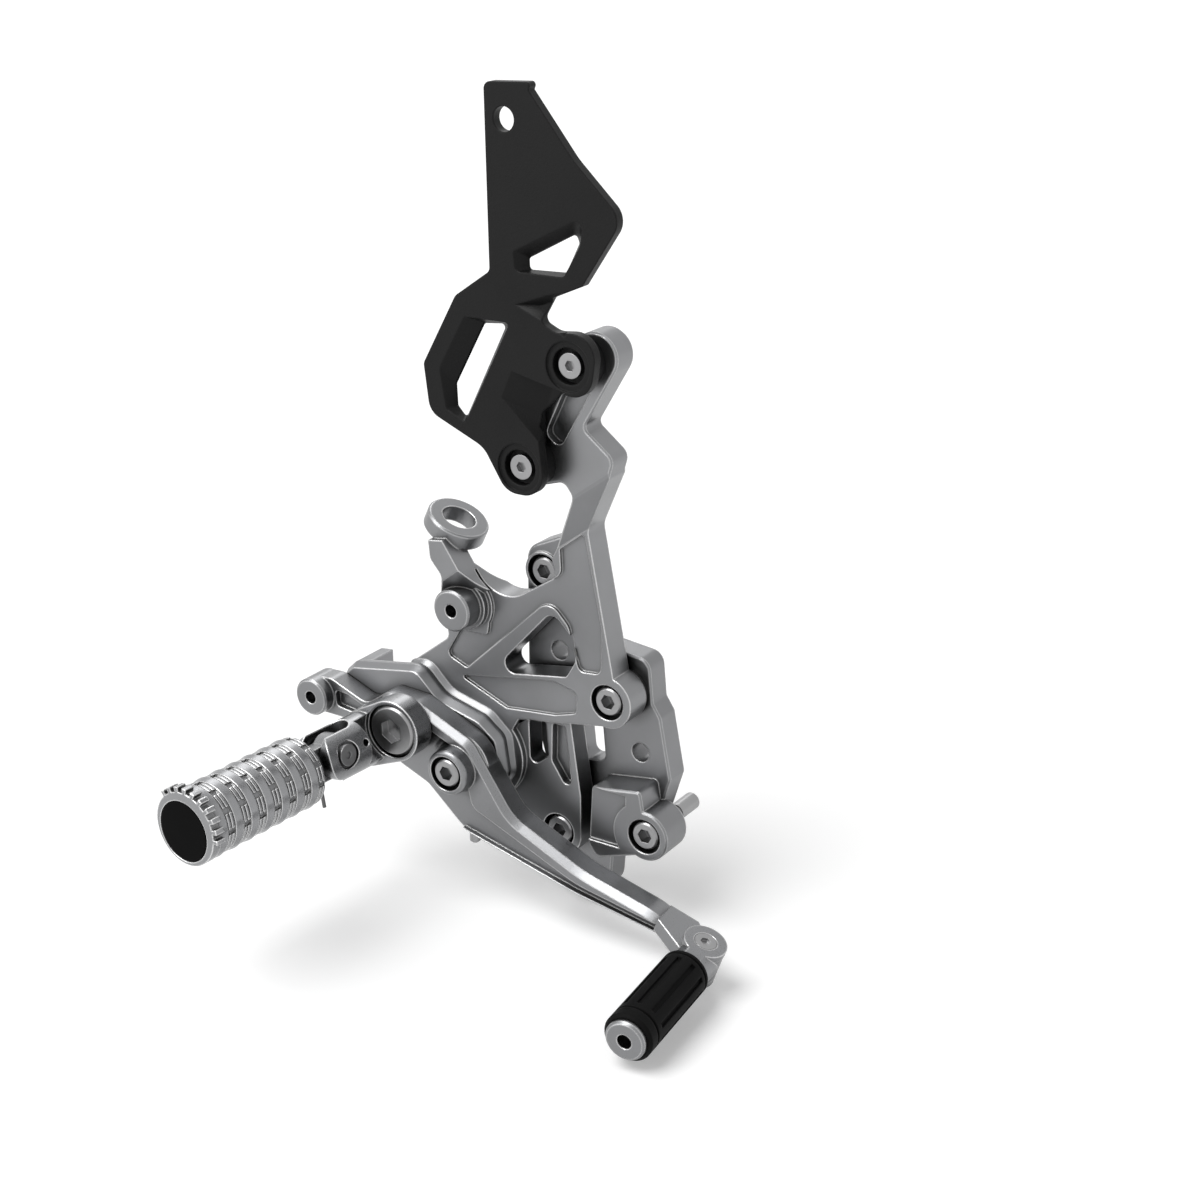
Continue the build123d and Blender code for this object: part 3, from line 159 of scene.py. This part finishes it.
def satin_aluminium(name, tone, roughness):
    """Bead-blasted aluminium of a given tone and mean roughness."""
    finish, tree = new_finish(name)
    place = tree.nodes.new("ShaderNodeTexCoord").outputs["Object"]
    patches = noise(tree, place, 38.0, 3.0)
    fine = noise(tree, place, BLAST_GRAIN, 2.0)
    shade = tree.nodes.new("ShaderNodeMix")
    shade.data_type = "RGBA"
    tree.links.new(spread(tree, patches, 0.0, 1.0), shade.inputs["Factor"])
    shade.inputs["A"].default_value = (tone * 0.95, tone * 0.96, tone * 0.98, 1)
    shade.inputs["B"].default_value = (tone * 1.04, tone * 1.05, tone * 1.08, 1)
    rounded = add_node(tree, "ShaderNodeBevel", Radius=EDGE_RADIUS)
    rounded.samples = 6
    geometry = tree.nodes.new("ShaderNodeNewGeometry")
    turn = tree.nodes.new("ShaderNodeVectorMath")
    turn.operation = "DOT_PRODUCT"
    tree.links.new(rounded.outputs[0], turn.inputs[0])
    tree.links.new(geometry.outputs["True Normal"], turn.inputs[1])
    # Painted highlight: the colour is brighter where the rounded normal leaves the true one, at the
    # edges, partly standing for polished wear.
    painted_edge_highlight = tree.nodes.new("ShaderNodeMix")
    painted_edge_highlight.data_type = "RGBA"
    tree.links.new(spread(tree, turn.outputs["Value"], 1.0, 0.0, 0.8, 0.99), painted_edge_highlight.inputs["Factor"])
    tree.links.new(shade.outputs["Result"], painted_edge_highlight.inputs["A"])
    painted_edge_highlight.inputs["B"].default_value = (tone * PAINTED_EDGE_HIGHLIGHT_GAIN, tone * PAINTED_EDGE_HIGHLIGHT_GAIN, tone * PAINTED_EDGE_HIGHLIGHT_GAIN, 1)
    # Painted shade: ambient occlusion darkens the colour in inner corners and hollows.
    corners = add_node(tree, "ShaderNodeAmbientOcclusion", Distance=CORNER_SHADE_REACH)
    corners.samples = 8
    painted_corner_shade = tree.nodes.new("ShaderNodeMix")
    painted_corner_shade.data_type = "RGBA"
    tree.links.new(spread(tree, corners.outputs["AO"], 0.0, 1.0, 0.3, 0.95), painted_corner_shade.inputs["Factor"])
    painted_corner_shade.inputs["A"].default_value = (tone * CORNER_SHADE_LOSS, tone * CORNER_SHADE_LOSS, tone * CORNER_SHADE_LOSS, 1)
    tree.links.new(painted_edge_highlight.outputs["Result"], painted_corner_shade.inputs["B"])
    bump = add_node(
        tree,
        "ShaderNodeBump",
        {"Height": fine, "Normal": rounded.outputs[0]},
        Strength=BLAST_RELIEF,
        Distance=0.05 * MM,
    )
    shader = add_node(
        tree,
        "ShaderNodeBsdfPrincipled",
        {
            "Base Color": painted_corner_shade.outputs["Result"],
            "Roughness": spread(tree, fine, roughness - 0.05, roughness + 0.06),
            "Normal": bump.outputs[0],
        },
        Metallic=1.0,
    )
    close_finish(tree, shader)
    return finish


bracket_finish = satin_aluminium("bracket_aluminium", 0.24, 0.34)
plate_finish = satin_aluminium("plate_aluminium", 0.215, 0.36)
lever_finish = satin_aluminium("lever_aluminium", 0.235, 0.31)
peg_finish = satin_aluminium("peg_aluminium", 0.28, 0.29)
print("aluminium finishes made")

# %% [markdown]
# Screws and pins are turned steel, brighter and smoother than the blasted parts. Slow patches
# shift their tone and roughness a little, and a very fine bump without direction breaks up the
# mirror. The same recipe with other tones makes the spring wire and the brass of the bush.

# %% Turned steel and spring wire
SCREW_EDGE_RADIUS = 0.4 * MM


def turned_metal(name, tone, roughness, tint=(1.0, 1.0, 1.01)):
    """Turned metal of a given tone and tint, with a fine directionless sheen."""
    finish, tree = new_finish(name)
    place = tree.nodes.new("ShaderNodeTexCoord").outputs["Object"]
    patches = noise(tree, place, 90.0, 2.0)
    fine = noise(tree, place, 5200.0, 1.0)
    shade = tree.nodes.new("ShaderNodeMix")
    shade.data_type = "RGBA"
    tree.links.new(spread(tree, patches, 0.0, 1.0), shade.inputs["Factor"])
    shade.inputs["A"].default_value = tuple(0.96 * tone * part for part in tint) + (1,)
    shade.inputs["B"].default_value = tuple(1.03 * tone * part for part in tint) + (1,)
    rounded = add_node(tree, "ShaderNodeBevel", Radius=SCREW_EDGE_RADIUS)
    rounded.samples = 6
    bump = add_node(
        tree,
        "ShaderNodeBump",
        {"Height": fine, "Normal": rounded.outputs[0]},
        Strength=0.012,
        Distance=0.03 * MM,
    )
    shader = add_node(
        tree,
        "ShaderNodeBsdfPrincipled",
        {
            "Base Color": shade.outputs["Result"],
            "Roughness": spread(tree, patches, roughness - 0.015, roughness + 0.02),
            "Normal": bump.outputs[0],
        },
        Metallic=1.0,
    )
    close_finish(tree, shader)
    return finish


bolt_finish = turned_metal("bolt_steel", 0.31, 0.30)
wire_finish = turned_metal("spring_steel", 0.13, 0.34)
brass_finish = turned_metal("bush_brass", 0.42, 0.30, (1.0, 0.78, 0.42))
print("turned finishes made")

# %% [markdown]
# The guard is moulded with a fine leather grain, so light breaks up on it and never mirrors.
# The toe peg's sleeve and the footpeg's end cap are black too, but one is dull rubber and the
# other a smooth moulding. One recipe makes all three, each with a tone, gloss and grain of its own.

# %% Black finishes
MOULD_RADIUS = 1.0 * MM


def grained_black(name, tone, roughness, gloss, grain, relief):
    """Black moulding or rubber with a pebbled skin."""
    finish, tree = new_finish(name)
    place = tree.nodes.new("ShaderNodeTexCoord").outputs["Object"]
    pebbles = add_node(tree, "ShaderNodeTexVoronoi", {"Vector": place}, Scale=grain)
    patches = noise(tree, place, 45.0, 3.0)
    shade = tree.nodes.new("ShaderNodeMix")
    shade.data_type = "RGBA"
    tree.links.new(spread(tree, patches, 0.0, 1.0), shade.inputs["Factor"])
    shade.inputs["A"].default_value = (tone * 0.85, tone * 0.85, tone * 0.87, 1)
    shade.inputs["B"].default_value = (tone * 1.2, tone * 1.2, tone * 1.22, 1)
    rounded = add_node(tree, "ShaderNodeBevel", Radius=MOULD_RADIUS)
    rounded.samples = 6
    bump = add_node(
        tree,
        "ShaderNodeBump",
        {"Height": pebbles.outputs["Distance"], "Normal": rounded.outputs[0]},
        Strength=relief,
        Distance=0.1 * MM,
    )
    shader = add_node(
        tree,
        "ShaderNodeBsdfPrincipled",
        {
            "Base Color": shade.outputs["Result"],
            "Roughness": spread(tree, patches, roughness - 0.04, roughness + 0.06),
            "Normal": bump.outputs[0],
        },
        Specular_IOR_Level=gloss,
    )
    close_finish(tree, shader)
    return finish


guard_finish = grained_black("guard_black", 0.005, 0.44, 0.16, 1500.0, 0.35)
rubber_finish = grained_black("rubber_black", 0.003, 0.6, 0.07, 2600.0, 0.2)
cap_finish = grained_black("cap_black", 0.002, 0.34, 0.025, 3600.0, 0.05)
print("black finishes made")

# %% [markdown]
# Each solid now takes its finish by the record's own material slots, so a node that is added
# later is dressed without a new line here. The solids keep their true shape. Their edges look
# broken, as on milled parts, because every finish shades them with a rounded normal, and the
# aluminium finishes paint a highlight along them.

# %% Dress the solids
FINISHES = {
    "bracket_aluminium": bracket_finish,
    "plate_aluminium": plate_finish,
    "lever_aluminium": lever_finish,
    "peg_aluminium": peg_finish,
    "bolt_steel": bolt_finish,
    "spring_steel": wire_finish,
    "bush_brass": brass_finish,
    "guard_black": guard_finish,
    "rubber_black": rubber_finish,
    "cap_black": cap_finish,
}

for part in frame["record"]["subparts"]:
    solid = frame["nodes"][part["node"]]
    solid.data.materials.clear()
    solid.data.materials.append(FINISHES[part["material_slot"]])

# %% [markdown]
# The footpeg folds on a forked knuckle, which is one piece with the eye on the big peg bolt. Two
# thick cheeks hold the hinge pin, and the pin's head is sunk in the forward one. Such a piece
# starts as a bar and loses metal cut by cut, so it is made here the same way: plain drums and
# blocks are joined and cut by booleans. The first helpers make those drums and blocks.

# %% Cutters
PEG_HINGE = Vector((-43.0, -83.0, 8.6)) * MM
PEG_HINGE_DIR = Vector((0.98276, -0.06355, 0.17365)).normalized()
PEG_OUT = Vector((-0.06453, -0.99792, 0.0)).normalized()
PEG_UP = PEG_OUT.cross(PEG_HINGE_DIR).normalized()
OUTBOARD = Vector((0.0, -1.0, 0.0))


def solid_from(name, shape):
    """Object from a closed bmesh, with its faces turned outwards."""
    bmesh.ops.recalc_face_normals(shape, faces=shape.faces)
    mesh = bpy.data.meshes.new(name)
    shape.to_mesh(mesh)
    shape.free()
    solid = bpy.data.objects.new(name, mesh)
    bpy.context.scene.collection.objects.link(solid)
    return solid


def drum(centre, axis, radius, start, stop, sides=120):
    """Closed cylinder along an axis; sizes in millimetres."""
    shape = bmesh.new()
    bmesh.ops.create_cone(
        shape,
        cap_ends=True,
        segments=sides,
        radius1=radius * MM,
        radius2=radius * MM,
        depth=(stop - start) * MM,
    )
    turn = axis.to_track_quat("Z", "Y").to_matrix().to_4x4()
    place = Matrix.Translation(centre + axis * (start + stop) / 2 * MM) @ turn
    bmesh.ops.transform(shape, matrix=place, verts=shape.verts)
    return solid_from("drum", shape)


def block(centre, right, up, corners, low, high):
    """Closed prism from corners in two directions, along their cross product; millimetres."""
    shape = bmesh.new()
    along = right.cross(up)
    rings = []
    for level in (low, high):
        places = [centre + (right * x + up * y + along * level) * MM for x, y in corners]
        rings.append([shape.verts.new(place) for place in places])
    shape.faces.new(rings[0])
    shape.faces.new(rings[1])
    for index in range(len(corners)):
        after = (index + 1) % len(corners)
        shape.faces.new((rings[0][index], rings[0][after], rings[1][after], rings[1][index]))
    return solid_from("block", shape)


def combine(body, tool, operation):
    """Joins or cuts a solid with another one, which is used up."""
    change = body.modifiers.new("change", "BOOLEAN")
    change.operation = operation
    change.solver = "EXACT"
    change.object = tool
    graph = bpy.context.evaluated_depsgraph_get()
    result = bpy.data.meshes.new_from_object(body.evaluated_get(graph))
    body.modifiers.clear()
    used = (body.data, tool.data)
    body.data = result
    bpy.data.objects.remove(tool)
    for mesh in used:
        bpy.data.meshes.remove(mesh)


def shade_by_angle(piece, limit):
    """Smooth faces with hard edges where two of them meet at more than a limit, in degrees."""
    shape = bmesh.new()
    shape.from_mesh(piece.data)
    bmesh.ops.remove_doubles(shape, verts=shape.verts, dist=0.0005 * MM)
    for face in shape.faces:
        face.smooth = True
    for edge in shape.edges:
        flat = len(edge.link_faces) == 2 and edge.calc_face_angle(pi) < radians(limit)
        edge.smooth = flat
    shape.to_mesh(piece.data)
    shape.free()


def oval(centre_at, radius, start, sweep, steps):
    """Corners along an arc, in degrees, for the blocks."""
    return [
        (
            centre_at[0] + radius * cos(radians(start + sweep * step / steps)),
            centre_at[1] + radius * sin(radians(start + sweep * step / steps)),
        )
        for step in range(steps + 1)
    ]


print("footpeg hinge along", [round(part, 3) for part in PEG_HINGE_DIR])

# %% [markdown]
# The knuckle's bar is 25 mm thick. Its end is rounded about the pin, so that the footpeg can
# swing up past it. A round scoop in the bar's root makes room for the big bolt's head. The eye
# is a flat ring that runs on to the bar's foot, and a short spigot behind it runs in the lever's
# curved slot.

# %% Knuckle and eye
KNUCKLE_R = 12.5
KNUCKLE_FOOT = -32.0
CHEEK_R = 11.3
PIN_RISE = 1.6
EYE_R = 14.25
EYE_BACK = 49.5
EYE_FACE = 60.0
SPIGOT_R = 7.0
SPIGOT_BACK = 36.0
SCOOP_END = 69.5
FOOT_R = 13.3
FOOT_SHIFT = 1.8
CUT_REACH = 20.0
CUT_SPARE = 1.0
PEG_BOLT = Vector((-26.3, 0.0, 15.5)) * MM

knuckle = drum(PEG_HINGE, PEG_OUT, KNUCKLE_R, KNUCKLE_FOOT, CHEEK_R + CUT_SPARE, 160)
foot_end = KNUCKLE_FOOT - 2.0 * CUT_SPARE
cheek_outline = oval((0.0, PIN_RISE), CHEEK_R, -90.0, 180.0, 60)
cheek_outline += [(0.0, CUT_REACH), (foot_end, CUT_REACH), (foot_end, -CUT_REACH), (0.0, -CUT_REACH)]
cheek_block = block(PEG_HINGE, PEG_OUT, PEG_UP, cheek_outline, -CUT_REACH, CUT_REACH)
combine(knuckle, cheek_block, "INTERSECT")
combine(knuckle, drum(PEG_BOLT, OUTBOARD, EYE_R, EYE_FACE, SCOOP_END), "DIFFERENCE")

foot = Vector((PEG_HINGE.x + FOOT_SHIFT * MM, 0.0, PEG_HINGE.z))
reach = foot - PEG_BOLT
lean = atan2(reach.z, reach.x)
spread_angle = acos((EYE_R - FOOT_R) * MM / reach.length)
eye_outline = oval(
    (0.0, 0.0), EYE_R, degrees(lean + spread_angle), 360.0 - 2 * degrees(spread_angle), 80
)
eye_outline += oval(
    (reach.x / MM, reach.z / MM), FOOT_R, degrees(lean - spread_angle), 2 * degrees(spread_angle), 60
)
eye = block(PEG_BOLT, Vector((1, 0, 0)), Vector((0, 0, 1)), eye_outline, EYE_BACK, EYE_FACE)
combine(knuckle, eye, "UNION")
combine(knuckle, drum(PEG_BOLT, OUTBOARD, SPIGOT_R, SPIGOT_BACK, EYE_BACK + CUT_SPARE, 72), "UNION")
print("knuckle", len(knuckle.data.polygons), "faces")

# %% [markdown]
# Now the cuts: the counterbore for the peg bolt's head, the fork's slot, which a round cutter
# leaves with a half-round end, the pin's hole and the recess round its head, and the small
# drilled hole beside it. The counterbore's cutter ends just past the eye's face, so the cheek in
# front of it stays whole.

# %% Cuts in the knuckle
BOLT_HOLE_R = 5.25
HEAD_R = 12.55
HEAD_H = 6.0
FORK_W = 11.6
FORK_END = -12.6
PIN_R = 3.05
PIN_SEAT = 10.0
PIN_RECESS_R = 6.3
DRILL_R = 1.7
DRILL_AT = (-11.8, 3.0)
DRILL_H = 5.0
SLOT_OPEN = 30.0

bolt_hole = drum(PEG_BOLT, OUTBOARD, BOLT_HOLE_R, SPIGOT_BACK - CUT_SPARE, EYE_FACE - CUT_SPARE, 72)
combine(knuckle, bolt_hole, "DIFFERENCE")
head_room = drum(PEG_BOLT, OUTBOARD, HEAD_R, EYE_FACE - HEAD_H, EYE_FACE + CUT_SPARE / 2)
combine(knuckle, head_room, "DIFFERENCE")
slot = oval((FORK_END + FORK_W / 2, 0.0), FORK_W / 2, 90.0, 180.0, 48)
slot += [(SLOT_OPEN, -FORK_W / 2), (SLOT_OPEN, FORK_W / 2)]
combine(knuckle, block(PEG_HINGE, PEG_OUT, PEG_HINGE_DIR, slot, -CUT_REACH, CUT_REACH), "DIFFERENCE")
pin_centre = PEG_HINGE + PEG_UP * PIN_RISE * MM
combine(knuckle, drum(pin_centre, PEG_HINGE_DIR, PIN_R, -CUT_REACH, CUT_REACH, 72), "DIFFERENCE")
combine(knuckle, drum(pin_centre, PEG_HINGE_DIR, PIN_RECESS_R, PIN_SEAT, CUT_REACH, 96), "DIFFERENCE")
drill_centre = PEG_HINGE + (PEG_OUT * DRILL_AT[0] + PEG_UP * DRILL_AT[1]) * MM
drilled = drum(drill_centre, PEG_HINGE_DIR, DRILL_R, KNUCKLE_R - DRILL_H, CUT_REACH, 48)
combine(knuckle, drilled, "DIFFERENCE")
knuckle.name = "peg_knuckle"
shade_by_angle(knuckle, 30.0)
knuckle.data.materials.append(peg_finish)
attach(knuckle, "bracket")
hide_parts("peg_mount")
print("cut knuckle", len(knuckle.data.polygons), "faces")

# %% [markdown]
# A torsion spring lies round each hinge and holds its peg out. Real spring wire runs in one
# helix with straight ends, so the wire follows a path, which Geometry Nodes draw: a spiral and
# two straight legs share one round profile. The same tree serves both hinges.

# %% Spring tree


def socket_id(tree, name):
    """Identifier of a group input, by its name."""
    return next(item.identifier for item in tree.interface.items_tree if item.name == name)


spring_tree = bpy.data.node_groups.new("wound_spring", "GeometryNodeTree")
spring_tree.interface.new_socket("Geometry", in_out="OUTPUT", socket_type="NodeSocketGeometry")
for name in ("Coil Radius", "Wire Radius", "Turns", "Rise"):
    spring_tree.interface.new_socket(name, in_out="INPUT", socket_type="NodeSocketFloat")
for name in ("First Leg", "Last Leg From", "Last Leg"):
    spring_tree.interface.new_socket(name, in_out="INPUT", socket_type="NodeSocketVector")
spring_tree.interface.new_socket("Finish", in_out="INPUT", socket_type="NodeSocketMaterial")
sizes = spring_tree.nodes.new("NodeGroupInput").outputs
coil = spring_tree.nodes.new("GeometryNodeCurveSpiral")
coil.inputs["Resolution"].default_value = 72
coil_start = spring_tree.nodes.new("ShaderNodeCombineXYZ")
first = spring_tree.nodes.new("GeometryNodeCurvePrimitiveLine")
last = spring_tree.nodes.new("GeometryNodeCurvePrimitiveLine")
path = spring_tree.nodes.new("GeometryNodeJoinGeometry")
profile = spring_tree.nodes.new("GeometryNodeCurvePrimitiveCircle")
profile.inputs["Resolution"].default_value = 20
tube = spring_tree.nodes.new("GeometryNodeCurveToMesh")
tube.inputs["Fill Caps"].default_value = True
whole = spring_tree.nodes.new("GeometryNodeRealizeInstances")
smooth = spring_tree.nodes.new("GeometryNodeSetShadeSmooth")
painted = spring_tree.nodes.new("GeometryNodeSetMaterial")
wire_out = spring_tree.nodes.new("NodeGroupOutput")
for source, target in (
    (sizes["Coil Radius"], coil.inputs["Start Radius"]),
    (sizes["Coil Radius"], coil.inputs["End Radius"]),
    (sizes["Turns"], coil.inputs["Rotations"]),
    (sizes["Rise"], coil.inputs["Height"]),
    (sizes["Coil Radius"], coil_start.inputs["X"]),
    (sizes["First Leg"], first.inputs["Start"]),
    (coil_start.outputs[0], first.inputs["End"]),
    (sizes["Last Leg From"], last.inputs["Start"]),
    (sizes["Last Leg"], last.inputs["End"]),
    (coil.outputs[0], path.inputs[0]),
    (first.outputs[0], path.inputs[0]),
    (last.outputs[0], path.inputs[0]),
    (sizes["Wire Radius"], profile.inputs["Radius"]),
    (path.outputs[0], tube.inputs["Curve"]),
    (profile.outputs[0], tube.inputs["Profile Curve"]),
    (tube.outputs[0], whole.inputs[0]),
    (whole.outputs[0], smooth.inputs[0]),
    (smooth.outputs[0], painted.inputs["Geometry"]),
    (sizes["Finish"], painted.inputs["Material"]),
    (painted.outputs[0], wire_out.inputs[0]),
):
    spring_tree.links.new(source, target)
print("spring tree", len(spring_tree.nodes), "nodes")

# %% [markdown]
# The footpeg's spring sits beside the tongue, between the cheeks, and one of its legs hangs free
# below the knuckle, as the photo shows. The toe peg's spring fills the gap above the lever's
# tongue. Each is grown at the origin, with its axis along Z, and then set on its hinge.

# %% Springs
FULL_TURN = 360.0
WIRE_R = 0.85
PEG_COIL_R = 5.4
PEG_TURNS = 1.75
PEG_RISE = 1.55
PEG_LEGS = (24.0, 12.6)
PEG_COIL_SHIFT = 3.0
TOE_COIL_R = 5.2
TOE_TURNS = 2.75
TOE_RISE = 3.6
TOE_LEGS = (4.5, 4.5)
TOE_COIL_SHIFT = 1.3
TOE_LEAN = 20.0


def grow_spring(name, node, radius, wire, turns, rise, legs, place):
    """Spring on a hinge, in place of a node; sizes in millimetres, legs as lengths."""
    spring = bpy.data.objects.new(name, bpy.data.meshes.new(name))
    bpy.context.scene.collection.objects.link(spring)
    wound = spring.modifiers.new("wound", "NODES")
    wound.node_group = spring_tree
    end = radians(FULL_TURN * turns)
    end_at = Vector((radius * cos(end), radius * sin(end), rise)) * MM
    onward = Vector((-sin(end), cos(end), 0.0)) * MM
    values = {
        "Coil Radius": radius * MM,
        "Wire Radius": wire * MM,
        "Turns": turns,
        "Rise": rise * MM,
        "First Leg": Vector((radius, -legs[0], 0.0)) * MM,
        "Last Leg From": end_at,
        "Last Leg": end_at + onward * legs[1],
        "Finish": wire_finish,
    }
    for key, value in values.items():
        wound[socket_id(spring_tree, key)] = value
    graph = bpy.context.evaluated_depsgraph_get()
    mesh = bpy.data.meshes.new_from_object(spring.evaluated_get(graph))
    spring.modifiers.clear()
    mesh.transform(place)
    spring.data = mesh
    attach(spring, "bracket" if node == "footpeg_spring" else "toe_peg")
    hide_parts(node)
    low = [round(min(v.co[axis] for v in mesh.vertices), 4) for axis in range(3)]
    print(name, len(mesh.polygons), "faces, low corner", low)


def hinge_place(centre, right, up):
    """Matrix that lays X and Y of a spring along two directions at a hinge."""
    along = right.cross(up)
    turn = Matrix((right, up, along)).transposed().to_4x4()
    return Matrix.Translation(centre) @ turn


peg_spring_at = pin_centre - PEG_HINGE_DIR * PEG_COIL_SHIFT * MM
peg_place = hinge_place(peg_spring_at, PEG_OUT, PEG_UP)
grow_spring("peg_spring", "footpeg_spring", PEG_COIL_R, WIRE_R, PEG_TURNS, PEG_RISE, PEG_LEGS, peg_place)

TOE_HINGE = Vector((129.5, -56.0, -50.5)) * MM
TOE_UP = Vector((sin(radians(TOE_LEAN)), 0.0, cos(radians(TOE_LEAN))))
TOE_OUT = Vector((-0.08190, -0.99619, 0.02981)).normalized()
toe_spring_at = TOE_HINGE + TOE_UP * TOE_COIL_SHIFT * MM
toe_place = hinge_place(toe_spring_at, TOE_OUT, TOE_UP.cross(TOE_OUT))
grow_spring("toe_spring", "toe_peg_spring", TOE_COIL_R, WIRE_R, TOE_TURNS, TOE_RISE, TOE_LEGS, toe_place)

# %% [markdown]
# A pale floor and soft light stand in for the studio. The floor lies just under the lowest
# point of the toe peg. It is pure white to the camera and in the metal, because a little light
# of its own is added for camera and glossy rays, and it still takes the soft shadow of the parts.

# %% Floor
FLOOR_SIDE = 14.0
FLOOR_DROP = 0.4 * MM
FLOOR_WHITE = 0.8
FLOOR_GLOW = 0.3

floor_mesh = bpy.data.meshes.new("floor")
floor_shape = bmesh.new()
bmesh.ops.create_grid(floor_shape, x_segments=1, y_segments=1, size=FLOOR_SIDE / 2)
bmesh.ops.translate(floor_shape, verts=floor_shape.verts, vec=(0, 0, solid_box[0][2] - FLOOR_DROP))
floor_shape.to_mesh(floor_mesh)
floor_shape.free()
floor = bpy.data.objects.new("floor", floor_mesh)
bpy.context.scene.collection.objects.link(floor)

floor_finish, tree = new_finish("studio_floor")
rays = tree.nodes.new("ShaderNodeLightPath")
matte = add_node(tree, "ShaderNodeBsdfDiffuse", Color=(FLOOR_WHITE, FLOOR_WHITE, FLOOR_WHITE, 1))
glow_level = tree.nodes.new("ShaderNodeMath")
glow_level.operation = "MULTIPLY"
glow_level.inputs[1].default_value = FLOOR_GLOW
seen = tree.nodes.new("ShaderNodeMath")
seen.operation = "MAXIMUM"
tree.links.new(rays.outputs["Is Camera Ray"], seen.inputs[0])
tree.links.new(rays.outputs["Is Glossy Ray"], seen.inputs[1])
tree.links.new(seen.outputs[0], glow_level.inputs[0])
glow = add_node(tree, "ShaderNodeEmission", {"Strength": glow_level.outputs[0]})
both = tree.nodes.new("ShaderNodeAddShader")
tree.links.new(matte.outputs[0], both.inputs[0])
tree.links.new(glow.outputs[0], both.inputs[1])
close_finish(tree, both)
floor.data.materials.append(floor_finish)

# %% [markdown]
# The world gives an even, shadowless fill. Camera, glossy and transmission rays see it as plain
# white, so polished edges mirror a white studio. Three broad suns shape the metal. The main one
# stands high, outboard and behind the rider's heel, a low one shines flat onto the outboard
# faces, and the third comes from inboard and lights the rims.

# %% World and lamps
FILL = 0.28
MAIN_LIGHT = 2.2
FRONT_LIGHT = 1.1
RIM_LIGHT = 0.5

world = bpy.data.worlds.new("studio")
world.use_nodes = True
bpy.context.scene.world = world
tree = world.node_tree
tree.nodes.clear()
rays = tree.nodes.new("ShaderNodeLightPath")
seen = tree.nodes.new("ShaderNodeMath")
seen.operation = "MAXIMUM"
tree.links.new(rays.outputs["Is Camera Ray"], seen.inputs[0])
tree.links.new(rays.outputs["Is Glossy Ray"], seen.inputs[1])
seen_through = tree.nodes.new("ShaderNodeMath")
seen_through.operation = "MAXIMUM"
tree.links.new(seen.outputs[0], seen_through.inputs[0])
tree.links.new(rays.outputs["Is Transmission Ray"], seen_through.inputs[1])
fill = add_node(tree, "ShaderNodeBackground", Strength=FILL)
white = add_node(tree, "ShaderNodeBackground", Strength=1.0)
for background in (fill, white):
    background.inputs["Color"].default_value = (1, 1, 1, 1)
mixed = tree.nodes.new("ShaderNodeMixShader")
tree.links.new(seen_through.outputs[0], mixed.inputs[0])
tree.links.new(fill.outputs[0], mixed.inputs[1])
tree.links.new(white.outputs[0], mixed.inputs[2])
output = tree.nodes.new("ShaderNodeOutputWorld")
tree.links.new(mixed.outputs[0], output.inputs["Surface"])


def add_sun(name, strength, width, towards):
    """Broad sun that shines along a direction."""
    lamp = bpy.data.lights.new(name, "SUN")
    lamp.energy = strength
    lamp.angle = radians(width)
    sun = bpy.data.objects.new(name, lamp)
    sun.rotation_euler = Vector(towards).to_track_quat("-Z", "Y").to_euler()
    bpy.context.scene.collection.objects.link(sun)


add_sun("main_light", MAIN_LIGHT, 40.0, (0.3, 0.5, -1.0))
add_sun("front_light", FRONT_LIGHT, 50.0, (0.5, 0.78, -0.12))
add_sun("rim_light", RIM_LIGHT, 30.0, (0.5, -0.6, -0.7))
print("studio ready")
